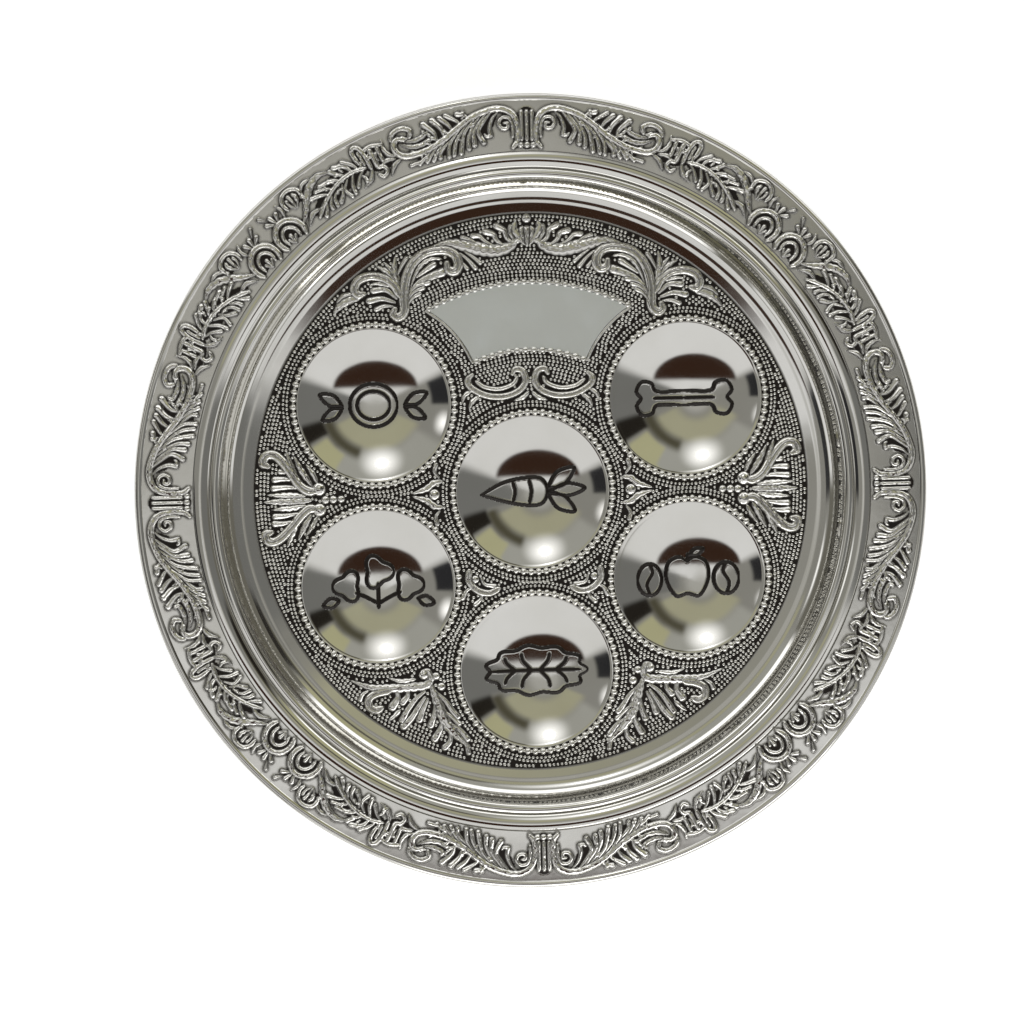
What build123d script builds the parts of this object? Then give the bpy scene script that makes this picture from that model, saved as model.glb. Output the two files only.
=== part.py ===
from build123d import *
import math
import os

# Seder plate of silver-plated sheet: a tray with a rolled edge and a scroll border, a panel laid in
# its well, six bowls under the panel, beaded wires round the bowls and a bare plaque above the middle.
# Millimetres, +Z up. The origin is under the middle of the plate, on the surface that it stands on.
# Sizes run outwards from the bowls, so the plate's diameter is the sum of what lies inside it.

# Bowls
bowl_mouth_radius = 38.5
bowl_foot_radius = 6.0          # flat that the plate stands on
bowl_wall = 0.8
bowl_flange = 4.0               # width of the lip soldered under the panel
flange_gap = 6.7                # between the lips of two neighbouring bowls
middle_bowl = "bitter_herb_bowl"
seats = [                       # round the middle bowl, anticlockwise from the right of the plaque
    "shank_bone_bowl",
    "plaque",
    "egg_bowl",
    "greens_bowl",
    "lettuce_bowl",
    "sweet_paste_bowl",
]

# Panel
panel_height = 10.0             # underside of the panel above the table
panel_sheet = 0.9
hole_margin = 0.4               # panel hole outside the bowl's mouth
panel_lap = 5.6                 # width of the panel's edge that lies on the tray's ledge
flange_clearance = 1.2          # between the bowls' lips and the ledge
panel_clearance = 0.3           # round the panel's edge

# Beaded wires
collar_setback = 0.4            # wire outside the panel's hole
collar_width = 3.4
collar_base = 0.5
bead_pitch = 3.9
bead_radius = 1.55
bead_height = 1.3
bead_taper_angle = 35.0

# Plaque
plaque_side_gap = 12.3          # between the plaque and the beaded wires of the two bowls beside it
plaque_inner_gap = 30.3         # between the plaque and the beaded wire of the middle bowl
plaque_height = 32.5
plaque_sheet = 0.5
frame_clearance = 0.1
frame_width = 1.6
frame_base = 0.5
frame_bead_pitch = 4.8
frame_bead_radius = 1.3
frame_bead_height = 0.9

# Tray, from the ledge outwards
tray_sheet = 0.9
slope_width = 5.2
slope_rise = 1.0
cove_width = 7.9
cove_rise = 4.2
cove_hollow = 1.1
wall_run = 3.2
wall_rise = 6.4
moulding_width = 5.1
moulding_rise = 0.8
moulding_crown = 1.8
ring_width = 8.3
ring_rise = 1.5
ring_crown = 1.4
border_width = 24.75
border_clearance = 0.2
roll_radius = 2.2
roll_proud = 1.4                # crest of the rolled edge above the border's seat
roll_open_angle = 55.0          # left open under the rolled edge
wire_clearance = 0.1

# Border ring
border_sheet = 0.8
relief_height = 1.2             # leaves and scrolls above the ground of the ring
columns = 4                     # fluted columns round the ring, with a scroll to each side of each

# The border's scroll is drawn flat: along the ring from a column's middle, and across it from its inner edge.
drawing_length = 143.7          # from a column to the mirror line halfway to the next one
drawing_width = 24.35
stem = [
    (5.8, 1.6), (4.4, 6), (4.4, 13), (7.6, 19), (14.2, 21.2), (24, 20), (34, 14.6),
    (45, 9.2), (57, 6.6), (64.5, 9), (66.4, 14), (64, 18), (60.4, 17.6),
]
stem_width = 2.6
stem_taper = 0.4                # how soon a stem narrows towards its ends
fern = [(86, 11.5), (95, 11), (104, 8.6), (113, 4)]
fern_width = 1.8
branch = [(66, 10.5), (70, 13), (75, 18)]
branch_width = 1.8
arch = [(128.4, 2), (128.2, 7), (135, 12.8), (141.8, 7), (141.6, 2)]
arch_width = 2.4
rosettes = [((9.6, 13.2), 2.2), ((122.7, 19), 4.6), ((135, 5.4), 2.8), ((137.2, 18), 2.2), ((141, 20), 1.6)]
single_leaves = [               # root, tip and width
    ((81.4, 3), (81.4, 22.5), 5.0),
    ((79.5, 6), (75.5, 14), 2.4),
    ((83.3, 6), (87.3, 14), 2.4),
    ((103, 21.5), (125, 8), 4.6),
]
leaf_rows = [                   # roots from and to, tips from and to, number of leaves and their width
    ((12, 19.5), (26, 18.4), (13.5, 7), (31, 3), 5, 2.5),
    ((33, 14), (51, 7), (36, 5.4), (57, 1.6), 5, 2.4),
    ((32, 16.6), (53, 8.4), (38, 22), (60, 12), 5, 2.4),
    ((87.5, 11.6), (109, 6.4), (92, 19), (115, 11), 6, 2.2),
    ((87.5, 11.2), (107, 6.8), (92, 4), (112, 1.2), 6, 2.2),
]
flute_spacing = 2.9
flute_span = (6, 19.5)
flute_width = 2.2
column_bead = 1.6

# The panel's ornament is drawn for the right half of a panel of this radius and mirrored to the left.
# Ribbons are points and a width, leaves are a root, a tip and a width, bosses are a middle and a radius.
panel_drawing_radius = 141.0
panel_relief_height = 1.2
panel_relief_clearance = 0.6    # clear of the beaded wires and of the panel's edge
finial = ((0, 137.6), 2.0)
crest = {
    "ribbons": [
        ([(4, 128.7), (9, 124.2), (16, 122.5), (24, 123.5), (32, 125.4), (40, 126.6), (48.6, 124.8)], 6.0),
        ([(36.4, 120.2), (40.6, 122.8), (46.4, 123), (52.4, 121.4), (57.4, 117.4), (60.8, 111.4),
          (62.4, 105), (62.9, 99), (62.7, 94.2)], 5.0),
        ([(64.5, 100.2), (67.5, 105.6), (73, 109.6), (80, 110.7), (85.6, 108.6), (87.7, 104.6)], 4.5),
        ([(85, 100), (91, 98.8), (95.6, 95.8), (98.6, 91.8)], 4.2),
        ([(65, 101.6), (66.4, 108), (67.4, 114), (66.6, 121)], 3.8),
        ([(60.6, 101.6), (54.4, 107.4), (48, 110.4), (43.4, 112)], 4.6),
        ([(5.6, 137), (6.4, 133), (4, 129), (1.2, 125)], 3.8),
    ],
    "leaves": [
        ((9, 127), (15.2, 135.4), 3.4),
        ((15, 126), (20.6, 134), 3.3),
        ((21, 126.6), (26, 130.8), 3.0),
        ((34, 121.4), (26.4, 113.8), 2.8),
        ((56, 110), (47.6, 116), 3.6),
        ((61, 99.6), (50.4, 107), 3.1),
        ((67.4, 108), (76.6, 116), 3.2),
        ((66.6, 99.4), (78.2, 103.6), 3.6),
        ((67.5, 97.4), (80.4, 98.4), 3.6),
    ],
    "bosses": [((38.2, 115.2), 3.6), ((65.8, 92), 3.2), ((85.6, 103), 2.4)],
}
palmette = {
    "ribbons": [
        ([(109.6, 3.4), (113.4, 3.4), (118, 6.4), (122, 12.4), (126, 18.2), (130, 21.8), (134.2, 21.8)], 4.8),
        ([(109.6, -5.8), (113.4, -5.6), (117.6, -9), (122, -14.2), (127, -19.2), (131, -21.6),
          (134.4, -21.2)], 4.8),
        ([(111.6, 6), (114.4, 10), (117.4, 15), (120.4, 21.4)], 3.2),
        ([(112.4, -8.4), (115.4, -13.4), (119.4, -21.4)], 3.2),
    ],
    "leaves": [
        ((112, -1.2), (136.4, -1.6), 4.4),
        ((115, 1), (134.4, 2), 3.6),
        ((115, -3.8), (132, -5.6), 3.6),
        ((118, 5), (131, 5.2), 3.4),
        ((121, 9.2), (130.4, 9.6), 3.4),
        ((118.6, -7.6), (130.6, -9), 3.4),
        ((121.6, -11.6), (131, -12.6), 3.4),
        ((119.6, 12), (124, 23.6), 3.0),
        ((119.6, -14), (125, -25), 3.0),
    ],
    "bosses": [
        ((108.2, 4.2), 3.2), ((108.2, -6.2), 3.2), ((134.4, 18.9), 2.2), ((134.2, -18.8), 2.2),
        ((105.2, -1.2), 2.1), ((101.2, -1.1), 2.0), ((97.2, -1), 1.9),
    ],
}
spray = {
    "ribbons": [
        ([(54.4, -93.6), (57, -96.8), (65, -97.4), (75, -97.6), (85, -96.8), (95.6, -92.8)], 4.6),
        ([(75, -98.8), (82, -100.2), (85.8, -102.8), (85.6, -106.8), (82.4, -108.6), (79.4, -107.4)], 3.8),
        ([(54.4, -96.2), (52, -102.8), (49.6, -109.8), (46.6, -116.8), (41.4, -123.2), (34.6, -129.4)], 5.2),
        ([(57.5, -99.8), (62, -103.4), (66, -108.4), (69.4, -114)], 3.6),
        ([(57.5, -102.8), (61, -107.8), (64.6, -113.2), (68.6, -117.2)], 4.0),
    ],
    "leaves": [
        ((71.6, -98.8), (74.2, -107.2), 4.2),
        ((66, -99), (68.8, -105), 3.6),
        ((56, -103.8), (60.6, -114.2), 3.7),
        ((52.4, -106.8), (55, -117.2), 3.7),
        ((48.6, -114.8), (53, -124.2), 4.0),
        ((44.8, -120.8), (48, -128.8), 3.6),
        ((51, -101), (41.2, -113.2), 3.4),
        ((45, -116.8), (36.4, -124.8), 3.4),
    ],
    "bosses": [((57.2, -91.6), 2.6), ((51.6, -92.2), 1.9), ((49, -97.6), 2.0)],
}
plaque_scroll = {
    "ribbons": [([(30.6, 54), (25, 50.4), (19, 48.8), (12, 49), (5.4, 51.8), (2.4, 56.4)], 3.6)],
    "leaves": [((0.8, 51), (8.6, 46.4), 2.8), ((26, 49.4), (31.4, 42.6), 2.8)],
    "bosses": [((29.8, 57.4), 2.6), ((5.6, 59.6), 3.0)],
}
sprigs = {
    "ribbons": [
        ([(45.6, 6.6), (50, 6), (54, 3), (61.4, 0.6)], 3.4),
        ([(45.6, -6.6), (50, -6), (54, -3), (61.4, -0.6)], 3.4),
        ([(33.4, -39), (33.6, -44.4), (29.6, -49.2), (23.4, -50.8), (18.4, -48.6)], 3.6),
    ],
    "leaves": [
        ((27.4, -43), (20.6, -47.4), 2.8),
        ((31.6, -47.4), (37, -53), 2.8),
        ((27, -51), (30.6, -56.4), 2.8),
    ],
    "bosses": [((50, 0), 2.6)],
}

# Radii and levels that follow from these
flange_radius = bowl_mouth_radius + bowl_flange
seat_angle = 360 / len(seats)
bowl_spacing = 2 * flange_radius + flange_gap
bowl_pitch = bowl_spacing / min(1, 2 * math.sin(math.radians(seat_angle / 2)))
hole_radius = bowl_mouth_radius + hole_margin
panel_top = panel_height + panel_sheet
collar_inner = hole_radius + collar_setback
collar_middle = collar_inner + collar_width / 2
collar_outer = collar_inner + collar_width
ledge_inner = bowl_pitch + flange_radius + flange_clearance
panel_radius = ledge_inner + panel_lap
plaque_inner = collar_outer + plaque_inner_gap
plaque_outer = plaque_inner + plaque_height
plaque_side = collar_outer + plaque_side_gap
seat_inner = (
    panel_radius + panel_clearance + slope_width + cove_width + wall_run + moulding_width + ring_width
)
seat_outer = seat_inner + border_width
seat_height = panel_height + slope_rise + cove_rise + wall_rise + moulding_rise + ring_rise
border_inner = seat_inner + border_clearance
border_outer = seat_outer - border_clearance
roll_drop = roll_radius - roll_proud
roll_centre = seat_outer + math.sqrt(roll_radius**2 - roll_drop**2)
roll_height = seat_height - roll_drop
plate_diameter = 2 * (roll_centre + roll_radius)


def turned(section):
    """Solid of revolution about Z from a section drawn as radius and height."""
    return revolve(Plane.XZ * section, Axis.Z)


def sheet_section(path, thickness):
    """Section of a sheet that lies under its path: the lower of the two sides that it can lie on."""
    wire = Wire(path.edges())
    both = [offset(wire, thickness, side=side, closed=True) for side in (Side.LEFT, Side.RIGHT)]
    return min((make_face(outline.edges()) for outline in both), key=lambda section: section.center().Y)


def around_roll(radius, angle):
    """Point on a circle about the middle of the rolled edge."""
    turn = math.radians(angle)
    return (roll_centre + radius * math.cos(turn), roll_height + radius * math.sin(turn))


def seat_turn(name):
    """Angle of a seat round the middle bowl, with the plaque at the top."""
    return 90 + seat_angle * (seats.index(name) - seats.index("plaque"))


def bowl_places():
    """Each bowl's name with the centre of the bowl."""
    places = {middle_bowl: (0.0, 0.0)}
    for name in seats:
        if name != "plaque":
            turn = math.radians(seat_turn(name))
            places[name] = (bowl_pitch * math.cos(turn), bowl_pitch * math.sin(turn))
    return places


def make_tray():
    ledge_start = (ledge_inner, panel_height)
    slope_start = (panel_radius + panel_clearance, panel_height)
    cove_start = (slope_start[0] + slope_width, slope_start[1] + slope_rise)
    wall_start = (cove_start[0] + cove_width, cove_start[1] + cove_rise)
    moulding_start = (wall_start[0] + wall_run, wall_start[1] + wall_rise)
    ring_start = (moulding_start[0] + moulding_width, moulding_start[1] + moulding_rise)
    seat_start = (seat_inner, seat_height)
    roll_start = (seat_outer, seat_height)
    start_angle = 180 - math.degrees(math.asin(roll_drop / roll_radius))
    end_angle = -180 + roll_open_angle
    top = Line(ledge_start, slope_start)
    top += Line(slope_start, cove_start)
    top += SagittaArc(cove_start, wall_start, -cove_hollow)
    top += Line(wall_start, moulding_start)
    top += SagittaArc(moulding_start, ring_start, moulding_crown)
    top += SagittaArc(ring_start, seat_start, ring_crown)
    top += Line(seat_start, roll_start)
    top += ThreePointArc(
        roll_start,
        around_roll(roll_radius, (start_angle + end_angle) / 2),
        around_roll(roll_radius, end_angle),
    )
    return turned(sheet_section(top, tray_sheet))


def make_rim_wire():
    wire_radius = roll_radius - tray_sheet - wire_clearance
    return Pos(0, 0, roll_height) * Torus(roll_centre, wire_radius)


def on_border(point):
    """Place on the ring of a point of the scroll's drawing."""
    turn = math.pi / 2 - point[0] / drawing_length * math.pi / columns
    radius = border_inner + point[1] / drawing_width * (border_outer - border_inner)
    return (radius * math.cos(turn), radius * math.sin(turn))


def on_panel(point):
    """Place on the panel of a point of its drawing."""
    return (point[0] / panel_drawing_radius * panel_radius, point[1] / panel_drawing_radius * panel_radius)


def between(first, last, share):
    """Point on the line from the first to the last."""
    return tuple(a + (b - a) * share for a, b in zip(first, last))


def leaf(root, tip, width, place=on_border):
    """Plan of a leaf, pointed at both ends."""
    length = math.dist(root, tip)
    aside = ((root[1] - tip[1]) / length * width / 2, (tip[0] - root[0]) / length * width / 2)
    middle = between(root, tip, 0.5)
    left = (middle[0] + aside[0], middle[1] + aside[1])
    right = (middle[0] - aside[0], middle[1] - aside[1])
    outline = ThreePointArc(place(root), place(left), place(tip))
    outline += ThreePointArc(place(tip), place(right), place(root))
    return make_face(outline)


def ribbon(points, width, place=on_border):
    """Plan of a stem along these points, drawn out to a point at both ends."""
    middle = Spline(*points)
    steps = 4 * len(points)
    sides = {1: [], -1: []}
    for step in range(1, steps):
        share = step / steps
        half = width / 2 * math.sin(math.pi * share) ** stem_taper
        here = middle @ share
        ahead = middle % share
        for sign, side in sides.items():
            side.append(place((here.X - sign * half * ahead.Y, here.Y + sign * half * ahead.X)))
    ends = (place(points[0]), place(points[-1]))
    outline = Spline(ends[0], *sides[1], ends[1])
    outline += Spline(ends[1], *reversed(sides[-1]), ends[0])
    return make_face(outline)


def scroll_plans():
    """Plans of the pieces of relief in one scroll."""
    plans = [ribbon(stem, stem_width), ribbon(fern, fern_width)]
    plans += [ribbon(branch, branch_width), ribbon(arch, arch_width)]
    plans += [Pos(*on_border(middle)) * Circle(radius) for middle, radius in rosettes]
    plans += [leaf(*one) for one in single_leaves]
    for first_root, last_root, first_tip, last_tip, count, width in leaf_rows:
        for index in range(count):
            share = index / (count - 1)
            root = between(first_root, last_root, share)
            tip = between(first_tip, last_tip, share)
            plans.append(leaf(root, tip, width))
    return plans


def column_plans():
    """Plans of the flutes of one column and of the beads at its foot."""
    plans = []
    for side in (-1, 0, 1):
        foot = (side * flute_spacing, flute_span[0])
        head = (side * flute_spacing, flute_span[1])
        plans.append(leaf(foot, head, flute_width))
        plans.append(Pos(*on_border((foot[0], flute_span[0] / 2))) * Circle(column_bead))
    return plans


def make_rim_border():
    scroll = Sketch() + scroll_plans()
    repeat = Sketch() + [scroll, mirror(scroll, Plane.YZ)] + column_plans()
    relief = extrude(repeat, border_sheet + relief_height)
    turns = [Rot(0, 0, 360 / columns * index) for index in range(columns)]
    ground = extrude(Circle(border_outer) - Circle(border_inner), border_sheet)
    return Pos(0, 0, seat_height) * (ground + [turn * relief for turn in turns])


def ornament_plan(drawing):
    """Plan of an ornament on the panel's right half and of its mirror image on the left."""
    plans = [ribbon(points, width, on_panel) for points, width in drawing["ribbons"]]
    plans += [leaf(root, tip, width, on_panel) for root, tip, width in drawing["leaves"]]
    plans += [Pos(*on_panel(middle)) * Circle(radius) for middle, radius in drawing["bosses"]]
    half = Sketch() + plans
    return Sketch() + [half, mirror(half, Plane.YZ)]


def make_panel():
    places = bowl_places().values()
    ground = Circle(panel_radius) - [Pos(*place) * Circle(hole_radius) for place in places]
    ornament = Sketch() + [ornament_plan(one) for one in (crest, palmette, spray, plaque_scroll, sprigs)]
    ornament += Pos(*on_panel(finial[0])) * Circle(finial[1])
    ornament -= [Pos(*place) * Circle(collar_outer + panel_relief_clearance) for place in places]
    ornament -= plaque_outline(frame_clearance + frame_width + panel_relief_clearance)
    ornament &= Circle(panel_radius - panel_relief_clearance)
    panel = extrude(ground, panel_sheet) + extrude(ornament, panel_sheet + panel_relief_height)
    return Pos(0, 0, panel_height) * panel


def make_bowl():
    foot_edge = (bowl_foot_radius, bowl_wall)
    mouth = (bowl_mouth_radius, panel_height)
    inside = Line((0, bowl_wall), foot_edge)
    inside += TangentArc(foot_edge, mouth, tangent=(1, 0))
    inside += Line(mouth, (flange_radius, panel_height))
    return turned(sheet_section(inside, bowl_wall))


def make_bead(radius, height):
    return extrude(RegularPolygon(radius, 6), height, taper=bead_taper_angle)


def make_bead_collar():
    wire = extrude(Circle(collar_outer) - Circle(collar_inner), collar_base)
    count = round(2 * math.pi * collar_middle / bead_pitch)
    bead = make_bead(bead_radius, bead_height)
    beads = [place * bead for place in PolarLocations(collar_middle, count)]
    return wire + [Pos(0, 0, collar_base) * one for one in beads]


def plaque_outline(grow):
    """Plan of the plaque, grown by a margin all round."""
    places = bowl_places()
    beside = [places["shank_bone_bowl"], places["egg_bowl"]]
    band = Circle(plaque_outer + grow) - Circle(plaque_inner - grow)
    band -= [Pos(*place) * Circle(plaque_side - grow) for place in beside]
    reach = [(4 * x, 4 * y) for x, y in beside]
    return band & make_face(Polyline((0, 0), *reach, close=True))


def frame_beads(radius):
    """Places of the beads along the plaque's long edge of this radius, clear of its corners."""
    side = plaque_side - frame_clearance - frame_width / 2
    cosine = (radius**2 + bowl_pitch**2 - side**2) / (2 * radius * bowl_pitch)
    half_angle = seat_angle - math.degrees(math.acos(cosine))
    count = round(2 * math.radians(half_angle) * radius / frame_bead_pitch)
    step = 2 * half_angle / count
    angles = [90 - half_angle + step * (index + 0.5) for index in range(count)]
    return [Rot(0, 0, angle) * Pos(radius, 0, panel_top + frame_base) for angle in angles]


def make_plaque():
    return Pos(0, 0, panel_top) * extrude(plaque_outline(0), plaque_sheet)


def make_plaque_frame():
    outer = plaque_outline(frame_clearance + frame_width)
    wire = Pos(0, 0, panel_top) * extrude(outer - plaque_outline(frame_clearance), frame_base)
    bead = make_bead(frame_bead_radius, frame_bead_height)
    offset_to_middle = frame_clearance + frame_width / 2
    places = frame_beads(plaque_outer + offset_to_middle) + frame_beads(plaque_inner - offset_to_middle)
    return wire + [place * bead for place in places]


nodes = {
    "tray": make_tray(),
    "rim_wire": make_rim_wire(),
    "rim_border": make_rim_border(),
    "centre_panel": make_panel(),
    "plaque": make_plaque(),
    "plaque_bead_frame": make_plaque_frame(),
}
bowl = make_bowl()
collar = make_bead_collar()
for name, (x, y) in bowl_places().items():
    nodes[name] = Pos(x, y, 0) * bowl
    nodes[name.replace("bowl", "bead_collar")] = Pos(x, y, panel_top) * collar

os.makedirs("parts", exist_ok=True)
for name, shape in nodes.items():
    export_step(shape, f"parts/{name}.step")
print(f"plate diameter {plate_diameter:.2f}, pieces {len(nodes)}")
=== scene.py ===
import bmesh
import bpy
import math
import numpy as np
from mathutils import Matrix, Vector


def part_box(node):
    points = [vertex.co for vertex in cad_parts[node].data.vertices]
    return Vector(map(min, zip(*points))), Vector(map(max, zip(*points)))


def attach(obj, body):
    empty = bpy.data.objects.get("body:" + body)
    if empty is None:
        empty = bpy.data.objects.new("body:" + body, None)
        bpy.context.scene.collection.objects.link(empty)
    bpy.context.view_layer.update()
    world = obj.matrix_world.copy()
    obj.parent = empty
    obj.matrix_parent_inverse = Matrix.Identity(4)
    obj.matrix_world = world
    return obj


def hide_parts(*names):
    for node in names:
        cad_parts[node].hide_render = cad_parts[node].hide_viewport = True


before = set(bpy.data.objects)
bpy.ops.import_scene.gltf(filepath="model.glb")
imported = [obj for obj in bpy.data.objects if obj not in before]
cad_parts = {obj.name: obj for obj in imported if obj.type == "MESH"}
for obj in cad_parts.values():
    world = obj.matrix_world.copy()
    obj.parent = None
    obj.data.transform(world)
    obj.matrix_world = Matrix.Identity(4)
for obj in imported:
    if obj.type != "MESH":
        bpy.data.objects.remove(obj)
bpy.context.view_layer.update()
print("frame loaded:", len(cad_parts), "nodes")

mm = 0.001      # the plate's sizes are in millimetres, the stage's in metres
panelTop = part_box("plaque")[0].z / mm
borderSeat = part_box("rim_border")[0].z / mm


# shared helpers

def linear(hexColour):
    channels = [int(hexColour[i:i + 2], 16) / 255 for i in (1, 3, 5)]
    return tuple(c / 12.92 if c <= 0.04045 else ((c + 0.055) / 1.055) ** 2.4 for c in channels) + (1.0,)


def polar(radius, turn, centre=(0, 0)):
    return centre[0] + radius * math.cos(turn), centre[1] + radius * math.sin(turn)


def emptyTree(owner):
    owner.use_nodes = True
    owner.node_tree.nodes.clear()
    return owner.node_tree


def addNode(tree, kind, inputs=None, **settings):
    node = tree.nodes.new(kind)
    for name, value in settings.items():
        setattr(node, name, value)
    for name, value in (inputs or {}).items():
        if isinstance(value, bpy.types.NodeSocket):
            tree.links.new(value, node.inputs[name])
        else:
            node.inputs[name].default_value = value
    return node


def newObject(name, data):
    made = bpy.data.objects.new(name, data)
    bpy.context.scene.collection.objects.link(made)
    return made


def newPiece(name, mesh, material, slot, *replaced):
    piece = newObject(name, mesh)
    if material and not mesh.materials:
        mesh.materials.append(material)
    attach(piece, "root")
    if replaced:
        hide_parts(*replaced)


def meshFrom(name, points, faces, sharpDegrees=40):
    mesh = bpy.data.meshes.new(name)
    mesh.from_pydata([(x * mm, y * mm, z * mm) for x, y, z in points], [], faces)
    mesh.validate()
    mesh.shade_smooth()
    mesh.set_sharp_from_angle(angle=math.radians(sharpDegrees))
    return mesh


def fixNormals(mesh, weldMm=0):
    bm = bmesh.new()
    bm.from_mesh(mesh)
    if weldMm:
        bmesh.ops.remove_doubles(bm, verts=bm.verts, dist=weldMm * mm)
    bmesh.ops.recalc_face_normals(bm, faces=bm.faces)
    bm.to_mesh(mesh)
    bm.free()


# per point share of the dark tone: patina with painted shade
def addPatinaAndShade(mesh, values):
    layer = mesh.attributes.new("patina", "FLOAT", "POINT")
    layer.data.foreach_set("value", np.clip(values, 0, 1).astype(np.float32))


# materials

# the dark tone is patina in the hollows together with painted shade at feet, in creases and on lower flanks
silverTones = {"bright": "#EFEEEA", "cloud": "#DEDCD5", "satin": "#F8FCFB", "satinCloud": "#EEF2F1",
               "patina": "#1F1813"}
silverDetail = {"clouds": 3.0, "ripples": 2.0, "cloudSpan": (0.3, 0.7), "roughSpan": (0.8, 1.3),
                "patinaAndShadeMetal": 0.35}


def silverMaterial(name, roughness, cloudMm, rippleMm, rippleDepthMm, patinaAndShadeFrom=None, patinaAndShadeRough=0.45,
                   tones=("bright", "cloud")):
    d = silverDetail
    material = bpy.data.materials.new(name)
    tree = emptyTree(material)
    place = addNode(tree, "ShaderNodeTexCoord").outputs["Object"]
    clouds = addNode(tree, "ShaderNodeTexNoise", {
        "Vector": place, "Scale": 1 / (cloudMm * mm), "Detail": d["clouds"]}).outputs["Fac"]
    light, dull = [linear(silverTones[tone]) for tone in tones]
    colour = addNode(tree, "ShaderNodeMix", {0: clouds, 6: light, 7: dull}, data_type="RGBA").outputs[2]
    rough = addNode(tree, "ShaderNodeMapRange", {
        "Value": clouds, "From Min": d["cloudSpan"][0], "From Max": d["cloudSpan"][1],
        "To Min": roughness * d["roughSpan"][0], "To Max": roughness * d["roughSpan"][1]}).outputs[0]
    metal = 1.0
    if patinaAndShadeFrom:
        if patinaAndShadeFrom == "patina":
            mask = addNode(tree, "ShaderNodeAttribute", attribute_name="patina").outputs["Fac"]
        else:       # two heights: black at the lower one, bright from the upper one on, painted shade towards the foot with patina
            height = addNode(tree, "ShaderNodeSeparateXYZ", {"Vector": place}).outputs["Z"]
            mask = addNode(tree, "ShaderNodeMapRange", {
                "Value": height, "From Min": patinaAndShadeFrom[0] * mm, "From Max": patinaAndShadeFrom[1] * mm,
                "To Min": 1.0, "To Max": 0.0}).outputs[0]
        black = linear(silverTones["patina"])
        colour = addNode(tree, "ShaderNodeMix", {0: mask, 6: colour, 7: black}, data_type="RGBA").outputs[2]
        rough = addNode(tree, "ShaderNodeMix", {
            0: mask, 2: rough, 3: patinaAndShadeRough}, data_type="FLOAT").outputs[0]
        metal = addNode(tree, "ShaderNodeMapRange", {
            "Value": mask, "To Min": 1.0, "To Max": d["patinaAndShadeMetal"]}).outputs[0]
    ripple = addNode(tree, "ShaderNodeTexNoise", {
        "Vector": place, "Scale": 1 / (rippleMm * mm), "Detail": d["ripples"]}).outputs["Fac"]
    bump = addNode(tree, "ShaderNodeBump", {
        "Height": ripple, "Strength": 1.0, "Distance": rippleDepthMm * mm}).outputs[0]
    shader = addNode(tree, "ShaderNodeBsdfPrincipled", {
        "Base Color": colour, "Metallic": metal, "Roughness": rough, "Normal": bump}).outputs[0]
    addNode(tree, "ShaderNodeOutputMaterial", {"Surface": shader})
    return material


# each finish: roughness, width of its clouds, width and depth of its ripples, and where its patina and
# painted shade lie

# bright silver plate, spun and buffed: a clear mirror with faint waves
polishedSilver = silverMaterial("polishedSilverPlate", 0.07, 30, 26, 0.05)
# the same on the tray, dark in the grooves between its mouldings and under the rolled edge: antiquing with
# painted shade
traySilver = silverMaterial("groovedSilverPlate", 0.07, 30, 26, 0.05, "patina", patinaAndShadeRough=0.25)
# struck and lightly antiqued silver plate: bright ridges with dark lines beside them, the dark partly
# painted shade in the creases and on the lower flanks
struckSilver = silverMaterial("struckSilverPlate", 0.11, 18, 6, 0.02, "patina")
# pebbles over a dark ground: bright tops that sink into near black, painted shade with patina at their feet
pebbleSilver = silverMaterial("pebbledSilverPlate", 0.2, 12, 4, 0.01, (panelTop + 0.02, panelTop + 0.42))
# dark ground of the panel, painted shade with patina between the pebbles: all of it lies below the heights
# where the dark thins out
shadedBlackenedSilver = silverMaterial("shadedBlackenedSilverPlate", 0.3, 12, 2, 0.02, (panelTop + 5, panelTop + 6))
# beaded wire: bright round tops, painted shade with patina where the beads meet the wire
beadSilver = silverMaterial("beadedSilverWire", 0.16, 20, 8, 0.01, (panelTop + 0.05, panelTop + 0.4))
# satin silver plate: grit-blasted, a soft even grey
satinSilver = silverMaterial("satinSilverPlate", 0.42, 14, 0.9, 0.012, tones=("satin", "satinCloud"))
# drawn steel wire inside the rolled edge: a dull shine
steelWire = silverMaterial("drawnSteelWire", 0.3, 10, 3, 0.01)
print("materials made")


# turned sheet pieces

def arcPoints(start, end, bulge, steps):
    (x0, y0), (x1, y1) = start, end
    if bulge == 0:
        return [(x0 + (x1 - x0) * i / steps, y0 + (y1 - y0) * i / steps) for i in range(steps + 1)]
    chord = math.dist(start, end)
    radius = (chord * chord / 4 + bulge * bulge) / (2 * bulge)
    nx, ny = -(y1 - y0) / chord, (x1 - x0) / chord      # left of the way outwards
    cx = (x0 + x1) / 2 + nx * (bulge - radius)
    cy = (y0 + y1) / 2 + ny * (bulge - radius)
    a0 = math.atan2(y0 - cy, x0 - cx)
    a1 = math.atan2(y1 - cy, x1 - cx)
    turn = (a1 - a0 + math.pi) % (2 * math.pi) - math.pi
    return [polar(abs(radius), a0 + turn * i / steps, (cx, cy)) for i in range(steps + 1)]


def underside(path, thickness):
    below = []
    for i, (x, y) in enumerate(path):
        x0, y0 = path[max(i - 1, 0)]
        x1, y1 = path[min(i + 1, len(path) - 1)]
        length = math.hypot(x1 - x0, y1 - y0)
        below.append((x + (y1 - y0) / length * thickness, y - (x1 - x0) / length * thickness))
    return below


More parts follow.
